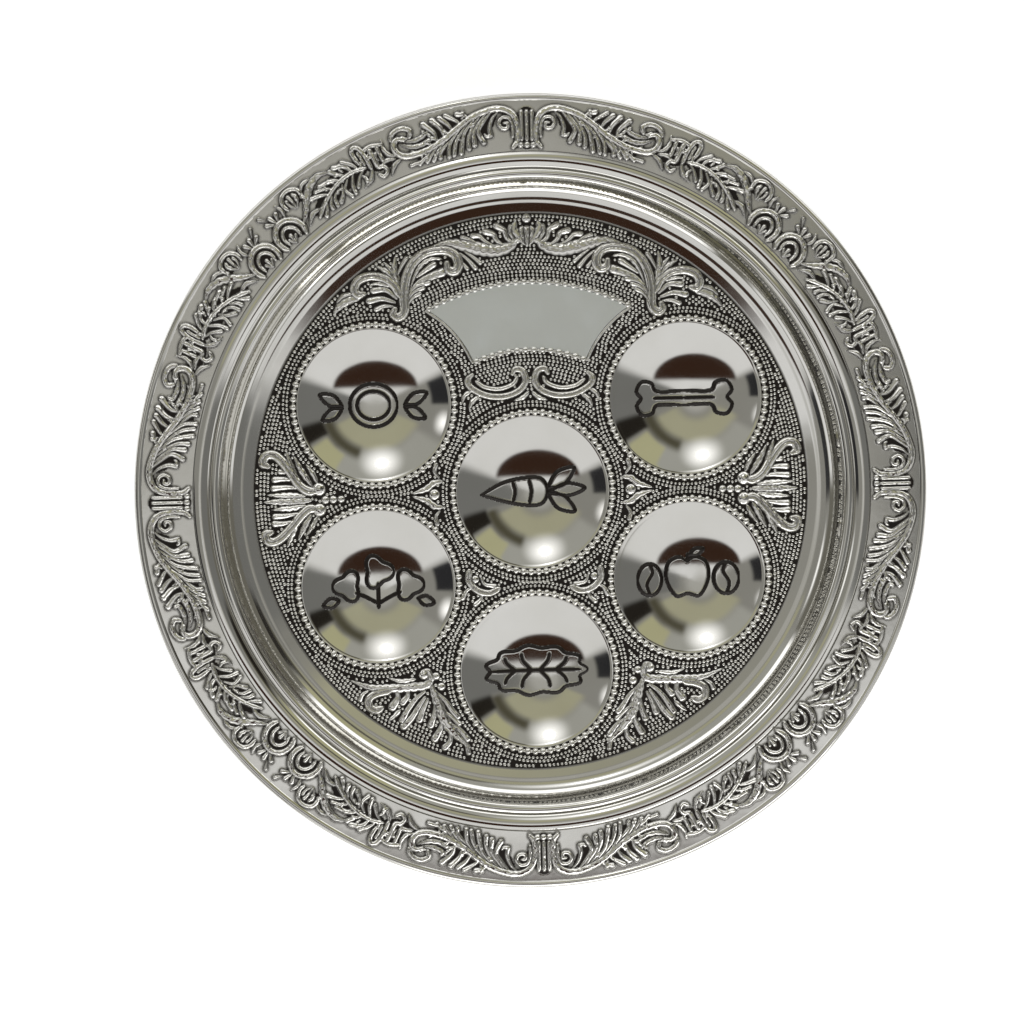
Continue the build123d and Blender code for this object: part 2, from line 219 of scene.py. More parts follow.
def lathe(name, outline, segments, centre=(0, 0)):
    points, faces, rings = [], [], []
    for radius, height in outline:
        if radius < 1e-6:       # on the axis: one point for the whole ring
            rings.append([len(points)] * segments)
            points.append((*centre, height))
            continue
        rings.append(range(len(points), len(points) + segments))
        points += [(*polar(radius, 2 * math.pi * k / segments, centre), height) for k in range(segments)]
    for i in range(len(rings)):
        lower, upper = rings[i], rings[(i + 1) % len(rings)]
        for k in range(segments):
            n = (k + 1) % segments
            ring = [lower[k], lower[n], upper[n], upper[k]]
            face = [v for j, v in enumerate(ring) if v != ring[j - 1]]
            if len(face) > 2:
                faces.append(face)
    mesh = meshFrom(name, points, faces)
    fixNormals(mesh)
    return mesh


tray = {
    "sheet": 0.9, "segments": 360, "from": (135.4, 10.0),
    "runs": [       # where each run of the section ends, its bulge, steps, how dark the groove at its end is (patina with painted shade)
        ((141.3, 10.0), 0, 3, 0.75),        # ledge
        ((146.5, 11.0), 0, 6, 0),           # slope
        ((154.4, 15.2), -1.1, 12, 0),       # cove
        ((157.6, 21.6), 0, 10, 0.85),       # steep wall
        ((162.7, 22.4), 1.8, 16, 0.85),     # half-round bead
        ((171.0, 23.9), 1.4, 14, 0.7),      # convex ring
        ((195.75, 23.9), 0, 2, 0),          # seat of the border
    ],
    "rollCentre": (197.8, 23.1), "rollRadius": 2.2, "rollEnd": -125, "rollSteps": 24,
    # a little darker on the cove, the wall and under the rolled edge: painted shade with thin tarnish
    "tarnishAndShade": ((146, 0.0), (150, 0.06), (154, 0.0), (158, 0.05), (163, 0.0), (197, 0.0), (199, 0.2)),
}


def makeTray(t):
    corner = t["from"]
    path, grooves = [corner], {}
    for end, bulge, steps, groove in t["runs"]:
        path += arcPoints(corner, end, bulge, steps)[1:]
        corner = end
        if groove:
            grooves[len(path) - 1] = groove
    cx, cy = t["rollCentre"]
    startTurn = math.degrees(math.atan2(corner[1] - cy, corner[0] - cx))
    for i in range(1, t["rollSteps"] + 1):
        turn = math.radians(startTurn + (t["rollEnd"] - startTurn) * i / t["rollSteps"])
        path.append(polar(t["rollRadius"], turn, t["rollCentre"]))
    outline = path + underside(path, t["sheet"])[::-1]
    shade = np.interp([r for r, z in outline], *zip(*t["tarnishAndShade"]))      # thin tarnish with painted shade, by radius, darkest under the rolled edge
    for index, groove in grooves.items():
        shade[index] = groove
    mesh = lathe("trayShell", outline, t["segments"])
    addPatinaAndShade(mesh, np.repeat(shade, t["segments"]))
    newPiece("trayShell", mesh, traySilver, "polished_silver", "tray")


bowl = {
    "mouth": 38.5, "foot": 6.0, "wall": 0.8, "rim": 10.0, "lip": 0.25, "flange": 42.5, "pitch": 91.7,
    "curve": (0.85, 0.15),      # shares of the square and of the fourth power in the hollow
    "steps": 26, "footSteps": 5, "segments": 144,
}
bowlTurns = {"shank_bone": 30, "egg": 150, "greens": 210, "lettuce": 270, "sweet_paste": 330}
bowlCentres = {food: polar(bowl["pitch"], math.radians(turn)) for food, turn in bowlTurns.items()}
bowlCentres["bitter_herb"] = (0.0, 0.0)


def bowlHeight(radius):
    t = np.asarray(radius, float) / bowl["mouth"]
    square, fourth = bowl["curve"]
    return bowl["wall"] + (bowl["rim"] - bowl["wall"]) * t ** 2 * (square + fourth * t ** 2)


def makeBowl(food, centre):
    path = [(r, float(bowlHeight(r))) for r in np.linspace(0, bowl["mouth"], bowl["steps"])]
    path += [(bowl["mouth"] + bowl["lip"], bowl["rim"]), (bowl["flange"], bowl["rim"])]
    lower = [(r, max(z, 0)) for r, z in underside(path, bowl["wall"])]
    lower[:bowl["footSteps"]] = [(0, 0), (bowl["foot"], 0)]       # flat foot
    name = food + "_bowl_shell"
    mesh = lathe(name, path + lower[::-1], bowl["segments"], centre)
    newPiece(name, mesh, polishedSilver, "polished_silver", food + "_bowl")


makeTray(tray)
for food, centre in bowlCentres.items():
    makeBowl(food, centre)
print("tray and bowls turned")


# relief: strokes laid on a grid as heights, the higher one showing where they cross
# a stroke is its points, width, height, kind and, for some, how deep the groove along it is

relief = {
    "cell": 0.38, "margin": 4,              # of the grid
    "spacing": 0.3,                         # between the points of a smoothed line
    "leastHalf": 0.3, "beside": 1.2,        # least half width, and how far beside it a stroke still counts
    "notchPitch": 3.5, "grooveHalf": 0.3,   # along a leaf, and as a share of the half width
    "empty": -2.0, "sink": 0.12,            # height where nothing is drawn, and how deep a patch is sunk
    "dark": (0.12, 0.62),                   # heights between which the dark of the lower flanks thins out: painted shade with patina
    "creaseCells": 2, "creaseGain": 5,      # painted shade with patina in the creases
    "uneven": 0.05, "unevenSeed": 5, "unevenFrom": 0.1, "least": 0.05, "sharp": 70,
}


def smoothPath(points, spacing=relief["spacing"]):
    p = np.array(points, float)
    p = np.vstack([2 * p[0] - p[1], p, 2 * p[-1] - p[-2]])
    out = []
    for i in range(1, len(p) - 2):
        steps = max(2, int(np.linalg.norm(p[i + 1] - p[i]) / spacing))
        t = np.linspace(0, 1, steps, endpoint=False)[:, None]
        out.append(0.5 * (2 * p[i] + (p[i + 1] - p[i - 1]) * t
                          + (2 * p[i - 1] - 5 * p[i] + 4 * p[i + 1] - p[i + 2]) * t ** 2
                          + (3 * p[i] - p[i - 1] - 3 * p[i + 1] + p[i + 2]) * t ** 3))
    out.append(p[-2:-1])
    return np.vstack(out)


def strokeShape(kind, t, length):
    # half widths and heights along a stroke, as shares of its own
    if kind == "leaf":      # narrow root, full belly, pointed tip, the edge going in and out
        notches = np.cos(2 * math.pi * t * max(1, round(length / relief["notchPitch"])))
        return np.sin(math.pi * t ** 0.8) ** 0.6 * (1 - 0.1 * notches), 0.65 + 0.35 * np.sin(math.pi * t)
    if kind == "lobe":      # narrow root, round tip
        return 0.4 + 0.6 * t ** 0.7, 0.65 + 0.35 * t
    return np.minimum(1, 0.6 + 6 * np.minimum(t, 1 - t)), np.ones_like(t)      # even stem, round ends


def addStroke(field, xs, ys, stroke):
    points, width, height, kind = stroke[:4]
    groove = stroke[4] if len(stroke) > 4 else 0
    path = smoothPath(points) if len(points) > 1 else np.array(points, float)
    t = np.linspace(0, 1, len(path))
    if len(path) > 1:
        wide, tall = strokeShape(kind, t, np.hypot(*np.diff(path, axis=0).T).sum())
    else:
        wide, tall = np.ones(1), np.ones(1)
    half = np.maximum(width / 2 * wide, relief["leastHalf"])
    reach = width / 2 + relief["beside"]
    ix = np.where((xs > path[:, 0].min() - reach) & (xs < path[:, 0].max() + reach))[0]
    iy = np.where((ys > path[:, 1].min() - reach) & (ys < path[:, 1].max() + reach))[0]
    if not len(ix) or not len(iy):
        return
    gx, gy = np.meshgrid(xs[ix], ys[iy])
    away = np.hypot(gx[..., None] - path[:, 0], gy[..., None] - path[:, 1]) / half
    near = away.argmin(-1)
    s = np.take_along_axis(away, near[..., None], -1)[..., 0]
    if kind == "stem":
        inside = np.maximum(1 - s ** 2, 0) ** 0.75
    else:                   # leaves come to a ridge
        inside = 1 - np.minimum(s, 1) ** 1.35
    rise = height * tall[near] * np.where(s < 1, inside, -0.5 * (s ** 2 - 1))
    if groove:
        rise = rise - np.where(s < 1, height * groove * np.exp(-(s / relief["grooveHalf"]) ** 2), 0)
    patch = field[iy[0]:iy[-1] + 1, ix[0]:ix[-1] + 1]
    np.maximum(patch, rise, out=patch)


def blurred(field, cells):
    out = field
    for axis in (0, 1):
        pad = [(cells, cells) if a == axis else (0, 0) for a in (0, 1)]
        wide = np.pad(out, pad, mode="edge")
        total = np.cumsum(wide, axis=axis)
        total = np.insert(total, 0, 0, axis=axis)
        n = 2 * cells + 1
        size = out.shape[axis]
        out = (np.take(total, range(n, n + size), axis) - np.take(total, range(size), axis)) / n
    return out


def hammered(field, seed, depth, above=0.12):
    # small unevenness of struck metal, so that the light breaks up on the lobes
    rough = blurred(blurred(np.random.default_rng(seed).standard_normal(field.shape), 1), 1)
    return field + np.where(field > above, depth * rough / rough.std(), 0) * np.clip(field, 0, 1)


def fieldMesh(name, xs, ys, field, shade, surface):
    # closed patch wherever the field is above nought, sunk a little into what carries it
    points, patina, corner, edge, faces = [], [], {}, {}, []

    def cornerPoint(i, j):
        if (i, j) not in corner:
            corner[i, j] = len(points)
            points.append((xs[j], ys[i], field[i, j]))
            patina.append(shade[i, j])
        return corner[i, j]

    def edgePoint(a, b):
        key = (min(a, b), max(a, b))
        if key not in edge:
            share = field[a] / (field[a] - field[b])
            edge[key] = len(points)
            x = xs[a[1]] + (xs[b[1]] - xs[a[1]]) * share
            y = ys[a[0]] + (ys[b[0]] - ys[a[0]]) * share
            points.append((x, y, 0.0))
            # the foot of a patch is fully dark: painted shade with patina
            patina.append(1.0)
        return edge[key]

    full = field > 0
    active = full[:-1, :-1] | full[1:, :-1] | full[:-1, 1:] | full[1:, 1:]
    for i, j in zip(*np.nonzero(active)):
        around = [(i, j), (i, j + 1), (i + 1, j + 1), (i + 1, j)]
        face = []
        for k, a in enumerate(around):
            b = around[(k + 1) % 4]
            if full[a]:
                face.append(cornerPoint(*a))
            if full[a] != full[b]:
                face.append(edgePoint(a, b))
        faces.append(face)
    count = len(points)
    uses = {}
    for face in faces:
        for k, a in enumerate(face):
            uses[a, face[(k + 1) % len(face)]] = True
    rimEdges = [pair for pair in uses if (pair[1], pair[0]) not in uses]
    ground = surface(np.array([p[0] for p in points]), np.array([p[1] for p in points]))
    upper = [(x, y, g + max(h, 0)) for (x, y, h), g in zip(points, ground)]
    lower = [(x, y, g - relief["sink"]) for (x, y, h), g in zip(points, ground)]
    bottom = [[v + count for v in reversed(face)] for face in faces]
    skirt = [[b, a, a + count, b + count] for a, b in rimEdges]
    mesh = meshFrom(name, upper + lower, faces + bottom + skirt, relief["sharp"])
    addPatinaAndShade(mesh, np.array(patina + [1.0] * count))
    return mesh


def strokeField(strokes, cell):
    allPoints = np.array([p for stroke in strokes for p in stroke[0]], float)
    low = allPoints.min(0) - relief["margin"]
    high = allPoints.max(0) + relief["margin"]
    xs = np.arange(low[0], high[0], cell)
    ys = np.arange(low[1], high[1], cell)
    field = np.full((len(ys), len(xs)), relief["empty"])
    for stroke in strokes:
        addStroke(field, xs, ys, stroke)
    return xs, ys, field


def flatPanel(x, y):
    return np.full(len(x), panelTop)


def panelRelief(name, strokes):
    r = relief
    xs, ys, field = strokeField(strokes, r["cell"])
    solid = np.maximum(field, 0)
    # dark in the creases and on the lower flanks: painted shade with patina
    crease = np.clip((blurred(solid, r["creaseCells"]) - solid) * r["creaseGain"], 0, 1)
    struck = np.maximum(hammered(field, r["unevenSeed"], r["uneven"]), r["least"])
    field = np.where(field > r["unevenFrom"], struck, field)
    black, bright = r["dark"]       # heights
    shade = np.maximum(crease, (bright - field) / (bright - black))
    return fieldMesh(name, xs, ys, field, shade, flatPanel), (xs, ys, field)


def mirrored(strokes):
    return strokes + [([(-x, y) for x, y in stroke[0]],) + tuple(stroke[1:]) for stroke in strokes]


# border ring: one scroll from a column to the mirror line, repeated round the rim
border = {
    "inner": 171.2, "outer": 196.5, "ground": 0.8, "crown": 0.1, "length": 143.7, "columns": 4,
    "alongCells": 360, "acrossCells": 63, "seed": 4, "fullness": 1.1, "raisedFrom": 0.05,
    "creaseCells": 3, "creaseGain": (4, 2.2),       # painted shade with patina in the creases, on the leaves and on the ground
    "slopeDark": (0.3, 0.8), "uneven": 0.08, "unevenSeed": 11, "sharp": 75,
}
borderStrokes = [
    # stem from the foot of the column over the arc to the end curl
    ([(7.4, 1.8), (5.0, 5), (4.6, 12), (6.4, 17.6), (10.4, 20.8), (15.5, 21.6), (21, 20.6), (27, 18.6),
      (34, 15), (41, 11.3), (49, 8.6), (56.6, 7.8), (62.6, 8.6), (66.4, 11.6), (66.8, 15.6), (64.2, 18),
      (61.4, 16.6)], 3.4, 1.7, "stem", 0.12),
    ([(7.2, 7), (6.9, 12), (8.4, 16.2), (11.6, 17), (13.8, 14.6), (12.6, 11.8), (9.8, 11.6), (9.4, 13.8),
      (11.2, 14.2)], 2.1, 1.3, "stem"),
    ([(14, 19.6), (16.6, 17), (18.6, 12.6), (18.4, 8.6)], 2.8, 1.2, "lobe"),
    # leaf inside the end curl
    ([(63.6, 15), (58, 11.8), (51, 11.6), (45, 14)], 2.9, 1.3, "leaf", 0.3),
    ([(61, 15.4), (56, 14.6), (51, 15.6), (47.4, 18)], 2.9, 1.2, "leaf", 0.25),
    ([(58, 17), (57, 20), (60.4, 22.4), (65, 21.6), (67.2, 18.6)], 2.6, 1.3, "stem", 0.1),
    ([(67, 10.6), (70.4, 12.4), (72, 16.4), (71.4, 20.4)], 2.7, 1.2, "leaf"),
    ([(65.6, 8.4), (70, 6.6), (73.4, 2.6)], 2.8, 1.1, "leaf"),
    ([(68, 9.4), (72.6, 10.4), (76.6, 8.6)], 2.6, 1.1, "leaf"),
    # bell flower between its bars
    ([(74.4, 11), (74.6, 14.6), (74.8, 18.4)], 2.2, 1.3, "stem"),
    ([(78, 9.4), (78.2, 14.4), (78.6, 19)], 2.4, 1.4, "stem"),
    ([(72.6, 18.8), (77.6, 20.2), (82, 19.2)], 2.2, 1.2, "stem"),
    ([(78.2, 9), (75.4, 8.4), (74.4, 5.6), (77, 3.8), (79.2, 5.8)], 2.1, 1.2, "stem"),
    ([(81.4, 10), (81.6, 17), (83, 22), (85.2, 23.2), (86.6, 20.4), (86, 15)], 2.3, 1.4, "stem", 0.1),
    ([(83.6, 13), (83.8, 17), (84.2, 20)], 1.8, 1.0, "stem"),
    ([(81, 9.6), (84, 5.2), (89, 3.2)], 2.9, 1.2, "leaf", 0.25),
    ([(85, 11.4), (88.6, 8.8), (91.6, 5)], 2.7, 1.1, "lobe"),
    # fern rib and the long leaf over it
    ([(84, 11.6), (90, 12.8), (97, 12.4), (104, 10.4), (111, 7), (117, 3.2)], 2.3, 1.5, "stem"),
    ([(101, 19), (106, 20.4), (112, 18.4), (117, 14), (121.6, 9), (126.4, 5.4)], 4.2, 1.6, "leaf", 0.3),
    ([(110, 21.6), (114.4, 21.4), (117.6, 18.6)], 2.6, 1.1, "leaf"),
    ([(114, 6.4), (119, 6.6), (124, 3)], 2.9, 1.2, "leaf", 0.2),
    # shell
    ([(117.4, 17.6), (118, 21.4), (121.4, 23.6), (125.6, 22.8), (127.6, 19.2), (127.2, 16)],
     2.2, 1.3, "stem"),
    ([(122.4, 14.2), (120.4, 17.4), (120.8, 20.4)], 2.1, 1.3, "lobe"),
    ([(123, 14.2), (123, 17.8), (123.4, 21)], 2.1, 1.4, "lobe"),
    ([(123.6, 14.2), (125.2, 17), (125.2, 19.6)], 2.1, 1.3, "lobe"),
    # horseshoe arch and the flower under it
    ([(127.6, 1.6), (126.6, 5.4), (128, 10), (131.4, 13), (135, 13.8), (138.6, 12.6), (141.4, 9.2),
      (142, 5), (140.8, 1.6)], 3.0, 1.7, "stem", 0.12),
    ([(130.4, 2.8), (130.4, 6.4), (132.4, 9.4), (135, 10.2), (137.4, 9), (138.8, 6), (138.2, 2.8)],
     1.9, 1.3, "stem"),
    ([(134.8, 1.2), (134.8, 5.8)], 2.4, 1.3, "lobe"),
    ([(134.4, 1.6), (132.6, 4.4)], 2.0, 1.1, "lobe"),
    ([(135.2, 1.6), (137, 4.4)], 2.0, 1.1, "lobe"),
    ([(134.6, 14.8), (133, 18.6)], 2.8, 1.2, "lobe"),
    ([(135.6, 14.8), (136.6, 19)], 2.8, 1.3, "lobe"),
    ([(136.6, 14.8), (140, 17.4)], 2.8, 1.2, "lobe"),
    ([(130.6, 14.4), (129.6, 18), (131, 21.8)], 2.4, 1.1, "leaf"),
    ([(138.6, 19), (140.8, 22.2)], 2.4, 1.0, "lobe"),
]
borderWebs = [      # thin metal between the fronds
    ([(15, 19), (22, 13.4), (32, 10), (44, 7), (58, 5.2)], 10, 0.3, "leaf"),
    ([(28, 18.6), (38, 16.6), (48, 14.4), (60, 14)], 7.5, 0.3, "leaf"),
    ([(72, 9), (78, 12.4), (86, 14)], 10, 0.3, "leaf"),
    ([(84, 11.4), (96, 12), (108, 8.6), (118, 5)], 11, 0.3, "leaf"),
    ([(117, 17), (123, 19.4), (128, 17)], 7.5, 0.3, "leaf"),
    ([(128, 6), (135, 7.6), (142, 6)], 9, 0.3, "stem"),
    ([(0, 3.4), (0, 12), (0, 19)], 7.6, 0.3, "stem"),
]
borderRows = [      # first and last frond of a row, how many, width, height
    ([(17, 20.4), (21, 16.6), (23.4, 11), (23.4, 5.6)], [(30, 17), (36, 11.4), (39.6, 6.8), (42, 2.2)],
     6, 3.0, 1.4),
    ([(33, 15.2), (39, 10), (44, 5.8), (46.4, 2.2)], [(48, 8.2), (53, 5.6), (57, 3.6), (61.4, 2)],
     5, 2.8, 1.25),
    ([(28, 18.4), (30.6, 20.6), (34, 22.6)], [(46, 10.4), (46, 15), (49.6, 20.8)], 5, 3.0, 1.35),
    ([(87.4, 12.6), (89, 16.4), (92.6, 20.6)], [(106.4, 9.6), (110.4, 12.4), (115, 12.6)], 7, 2.8, 1.35),
    ([(91, 11.8), (93.4, 7.6), (94.6, 3.2)], [(109.4, 7.4), (111.4, 4.4), (114.4, 1.6)], 6, 2.8, 1.25),
]
columnStrokes = [([(side * 2.7, 5.2), (side * 2.5, 19.6)], 2.3, 1.5, "stem") for side in (-1, 0, 1)]
columnStrokes += [([(side * 3.3, 2.9)], 3.2, 1.4, "stem") for side in (-1, 0, 1)]
frond = {"wander": 0.6, "wider": (0.9, 1.2), "taller": (0.85, 1.25)}
bud = {"onWebs": 5, "every": 15, "scatter": 0.3, "reach": (1, 1.8), "curl": (-0.6, 0.6), "width": (2.0, 2.8),
       "height": (1.2, 1.8)}


def rowStrokes(rows, seed):
    rng = np.random.default_rng(seed)
    strokes = []
    for first, last, count, width, height in rows:
        first, last = np.array(first), np.array(last)
        for share in np.linspace(0, 1, count):
            line = first + (last - first) * share
            line[1:] += rng.normal(0, frond["wander"], line[1:].shape)      # no two fronds quite alike
            wider = width * rng.uniform(*frond["wider"])
            taller = height * rng.uniform(*frond["taller"])
            strokes.append(([tuple(p) for p in line], wider, taller, "lobe"))
    return strokes


def budStrokes(webs, seed):
    # small curled leaves and buds scattered among the fronds
    rng = np.random.default_rng(seed)
    strokes = []
    for web in webs:
        path = smoothPath(web[0])
        scatter = web[1] * bud["scatter"]
        for k in range(len(path) // bud["every"]):
            start = path[rng.integers(len(path))] + rng.normal(0, scatter, 2)
            ahead = np.array(polar(1, rng.uniform(0, 2 * math.pi))) * rng.uniform(*bud["reach"])
            aside = np.array((-ahead[1], ahead[0])) * rng.uniform(*bud["curl"])
            points = [tuple(start), tuple(start + ahead + aside), tuple(start + 2 * ahead)]
            strokes.append((points, rng.uniform(*bud["width"]), rng.uniform(*bud["height"]), "lobe"))
    return strokes


def borderField(b, along, across):
    field = np.zeros((len(across), len(along)))
    strokes = borderWebs + rowStrokes(borderRows, b["seed"]) + borderStrokes + columnStrokes
    strokes += budStrokes(borderWebs[:bud["onWebs"]], b["seed"])
    for stroke in strokes:
        # strokes run on over both mirror lines
        for flip, middle in ((1, 0), (-1, 0), (-1, 2 * b["length"])):
            points = [(middle + flip * x, y) for x, y in stroke[0]]
            addStroke(field, along, across, (points, stroke[1] * b["fullness"]) + tuple(stroke[2:]))
    field = np.maximum(field, 0)
    raised = field > b["raisedFrom"]
    # painted shade with patina: in the creases, round the foot of the relief on the ground, and on the lower
    # flanks
    dark = np.clip((blurred(field, b["creaseCells"]) - field) * np.where(raised, *b["creaseGain"]), 0, 1)
    black, bright = b["slopeDark"]      # heights
    dark = np.maximum(dark, np.where(raised, np.clip((bright - field) / (bright - black), 0, 1), 0))
    return np.maximum(hammered(field, b["unevenSeed"], b["uneven"]), 0), dark


def makeBorder(b):
    along = np.linspace(0, b["length"], b["alongCells"] + 1)
    across = np.linspace(0, b["outer"] - b["inner"], b["acrossCells"] + 1)
    field, dark = borderField(b, along, across)
    heights = np.concatenate([field[:, :0:-1], field], axis=1)      # one column with a scroll to each side
    darks = np.concatenate([dark[:, :0:-1], dark], axis=1)
    rows, count = heights.shape
    turns = math.pi / 2 - np.linspace(-1, 1, count) * math.pi / b["columns"]
    radii = b["inner"] + across
    crown = b["crown"] * (1 - ((across - across[-1] / 2) / (across[-1] / 2)) ** 2)
    top = borderSeat + b["ground"] + crown[:, None] + heights
    x = radii[:, None] * np.cos(turns)
    y = radii[:, None] * np.sin(turns)
    points = np.stack([x, y, top], -1).reshape(-1, 3)
    foot = np.concatenate([np.stack([x[k], y[k], np.full(count, borderSeat)], -1) for k in (0, rows - 1)])
    index = np.arange(rows * count).reshape(rows, count)
    innerFoot = rows * count + np.arange(count)
    index = np.vstack([index, innerFoot + count, innerFoot, index[:1]])
    faces = []
    for k in range(len(index) - 1):
        a, c = index[k], index[k + 1]
        faces += [list(f) for f in zip(a[:-1], c[:-1], c[1:], a[1:])]
    faces += [list(index[:-1, 0]), list(index[:-1, -1])]        # both ends of the quarter
    mesh = meshFrom("scrollBorder", np.vstack([points, foot]), faces, b["sharp"])
    fixNormals(mesh)
    addPatinaAndShade(mesh, np.concatenate([darks.reshape(-1), np.zeros(2 * count)]))
    for k in range(b["columns"]):
        quarter = mesh.copy()
        quarter.transform(Matrix.Rotation(2 * math.pi * k / b["columns"], 4, "Z"))
        newPiece(f"scrollBorder_{k + 1}", quarter, struckSilver, "struck_silver", "rim_border")
    bpy.data.meshes.remove(mesh)


makeBorder(border)
print("border struck")

# panel: a flat sheet pierced for the bowls, under the ornament and the pebbles
panel = {"radius": 141.0, "hole": 38.9, "sheet": 0.9, "segments": 144, "weld": 0.001}


def makePanel(p):
    data = bpy.data.curves.new("panelOutline", "CURVE")
    data.dimensions = "2D"
    data.fill_mode = "BOTH"
    data.extrude = p["sheet"] / 2 * mm
    circles = [((0, 0), p["radius"])] + [(centre, p["hole"]) for centre in bowlCentres.values()]
    for centre, radius in circles:
        spline = data.splines.new("POLY")
        spline.points.add(p["segments"] - 1)
        for k, point in enumerate(spline.points):
            x, y = polar(radius, 2 * math.pi * k / p["segments"], centre)
            point.co = (x * mm, y * mm, 0, 1)
        spline.use_cyclic_u = True
    helper = newObject("panelHelper", data)
    mesh = bpy.data.meshes.new_from_object(helper.evaluated_get(bpy.context.evaluated_depsgraph_get()))
    bpy.data.objects.remove(helper)
    mesh.name = "panelSheet"
    fixNormals(mesh, p["weld"])
    mesh.transform(Matrix.Translation((0, 0, (panelTop - p["sheet"] / 2) * mm)))
    mesh.shade_flat()
    mesh.materials.append(shadedBlackenedSilver)
    mesh.materials.append(polishedSilver)
    for face in mesh.polygons:
        face.material_index = 0 if face.normal.z > 0.5 else 1       # only the top gets the dark ground, painted shade with patina
    newPiece("panelSheet", mesh, None, "antique_silver", "centre_panel")


makePanel(panel)
print("panel cut")

# ornament of the panel, drawn on one side of the plate and mirrored
crest = [
    ([(0, 138.4)], 3.8, 1.5, "stem"),
    ([(5.6, 137), (6.4, 133), (4, 129), (1.2, 125)], 3.2, 1.5, "leaf", 0.25),
    ([(2.2, 134.6), (2.8, 131), (1.4, 127.4)], 2.6, 1.3, "leaf"),
    ([(2.4, 128.6), (6, 126.6), (9.6, 124)], 2.6, 1.3, "leaf"),
    ([(4, 128.7), (9, 124.2), (16, 122.5), (24, 123.5), (32, 125.4), (40, 126.6), (48.6, 124.8)],
     5.4, 1.8, "leaf", 0.3),
    ([(0, 124.6), (0, 129), (0, 133)], 3.2, 1.5, "lobe"),
    ([(8, 124.4), (6.9, 128), (8.6, 131.4), (8.2, 134.4)], 2.3, 1.3, "lobe"),
    ([(6, 125.6), (10, 128.4), (11.4, 132.4), (15.4, 134.8)], 3.0, 1.5, "lobe"),
    ([(12, 125), (15.4, 127.6), (17, 130.6), (21, 132)], 3.0, 1.5, "lobe"),
    ([(18, 125.4), (21.4, 127.4), (24, 129.8), (27.4, 130)], 2.6, 1.3, "lobe"),
    ([(26, 126.6), (29, 128.2), (32.6, 129.4)], 2.3, 1.2, "lobe"),
    ([(34, 121.4), (30, 118), (26.4, 113.8)], 2.3, 1.3, "lobe"),
    ([(31.6, 122.2), (27.6, 119.4), (24, 116.4)], 2.1, 1.2, "lobe"),
    ([(35, 118.4), (32.6, 116), (30.6, 113.6)], 2.0, 1.1, "lobe"),
    # broad double band from the inner curl to the one at the foot
    ([(40.8, 116.6), (40, 113.2), (36.6, 112.6), (35, 115.8), (36.4, 120.2), (40.6, 122.8), (46.4, 123),
      (52.4, 121.4), (57.4, 117.4), (60.8, 111.4), (62.4, 105), (62.9, 99), (62.7, 94.2), (64, 91),
      (66.5, 89.9), (68.5, 91.7), (67.6, 94)], 4.2, 1.9, "stem", 0.35),
    ([(43, 118.6), (48.4, 119), (53.6, 116.2), (57.2, 110.6), (59.6, 104)], 2.4, 1.4, "leaf"),
    ([(60.6, 101.6), (54.4, 107.4), (48, 110.4), (43.4, 112)], 3.9, 1.6, "lobe", 0.3),
    ([(56, 110), (51.4, 113.4), (47.6, 116)], 3.0, 1.4, "lobe"),
    ([(61, 99.6), (57, 105), (50.4, 107)], 2.6, 1.3, "lobe"),
    ([(61.4, 97.6), (58, 102.2), (53.2, 104.4)], 2.4, 1.2, "lobe"),
    ([(61.4, 95.6), (58.6, 99.4), (55, 101.6)], 2.2, 1.1, "lobe"),
    ([(65, 101.6), (66.4, 108), (67.4, 114), (66.6, 121)], 3.2, 1.5, "leaf", 0.25),
    ([(65.6, 111.6), (63.4, 116), (61.2, 119.4)], 2.3, 1.2, "lobe"),
    ([(67.4, 108), (71, 112.8), (76.6, 116)], 2.7, 1.3, "leaf"),
    ([(67.6, 110.6), (69.8, 114.6), (72.6, 117.8)], 2.1, 1.1, "leaf"),
    ([(64.5, 100.2), (67.5, 105.6), (73, 109.6), (80, 110.7), (85.6, 108.6), (87.7, 104.6), (86.2, 101.6),
      (83, 102)], 3.8, 1.7, "stem", 0.35),
    ([(70, 105.4), (75, 107), (80, 106.6)], 2.2, 1.2, "leaf"),
    ([(66.6, 99.4), (72, 103.8), (78.2, 103.6)], 3.0, 1.4, "lobe", 0.25),
    ([(67.5, 97.4), (74, 99.4), (80.4, 98.4)], 3.0, 1.4, "lobe", 0.25),
    ([(68.6, 95.4), (73, 95.6), (77, 94)], 2.4, 1.1, "lobe"),
    ([(85, 100), (91, 98.8), (95.6, 95.8), (98.6, 91.8)], 3.6, 1.5, "leaf", 0.3),
    ([(88, 102.4), (93.4, 101), (97, 97.6)], 2.4, 1.1, "leaf"),
]
plaqueScroll = [
    ([(29.4, 60), (31.6, 57.6), (30.6, 54), (25, 50.4), (19, 48.8), (12, 49), (5.4, 51.8), (2.4, 56.4),
      (3.8, 61.4), (7.4, 62.4), (9, 60)], 3.0, 1.6, "stem", 0.3),
    ([(27.6, 56.6), (23, 53.6), (15.6, 52.6), (8.8, 55), (6.6, 58.4)], 2.0, 1.2, "stem"),
    ([(0.8, 51), (4, 48), (8.6, 46.4)], 2.3, 1.2, "leaf"),
    ([(26, 49.4), (29.6, 46.4), (31.4, 42.6)], 2.3, 1.2, "leaf"),
    ([(30, 52), (33.6, 49.4), (34.8, 45.6)], 2.1, 1.1, "leaf"),
]
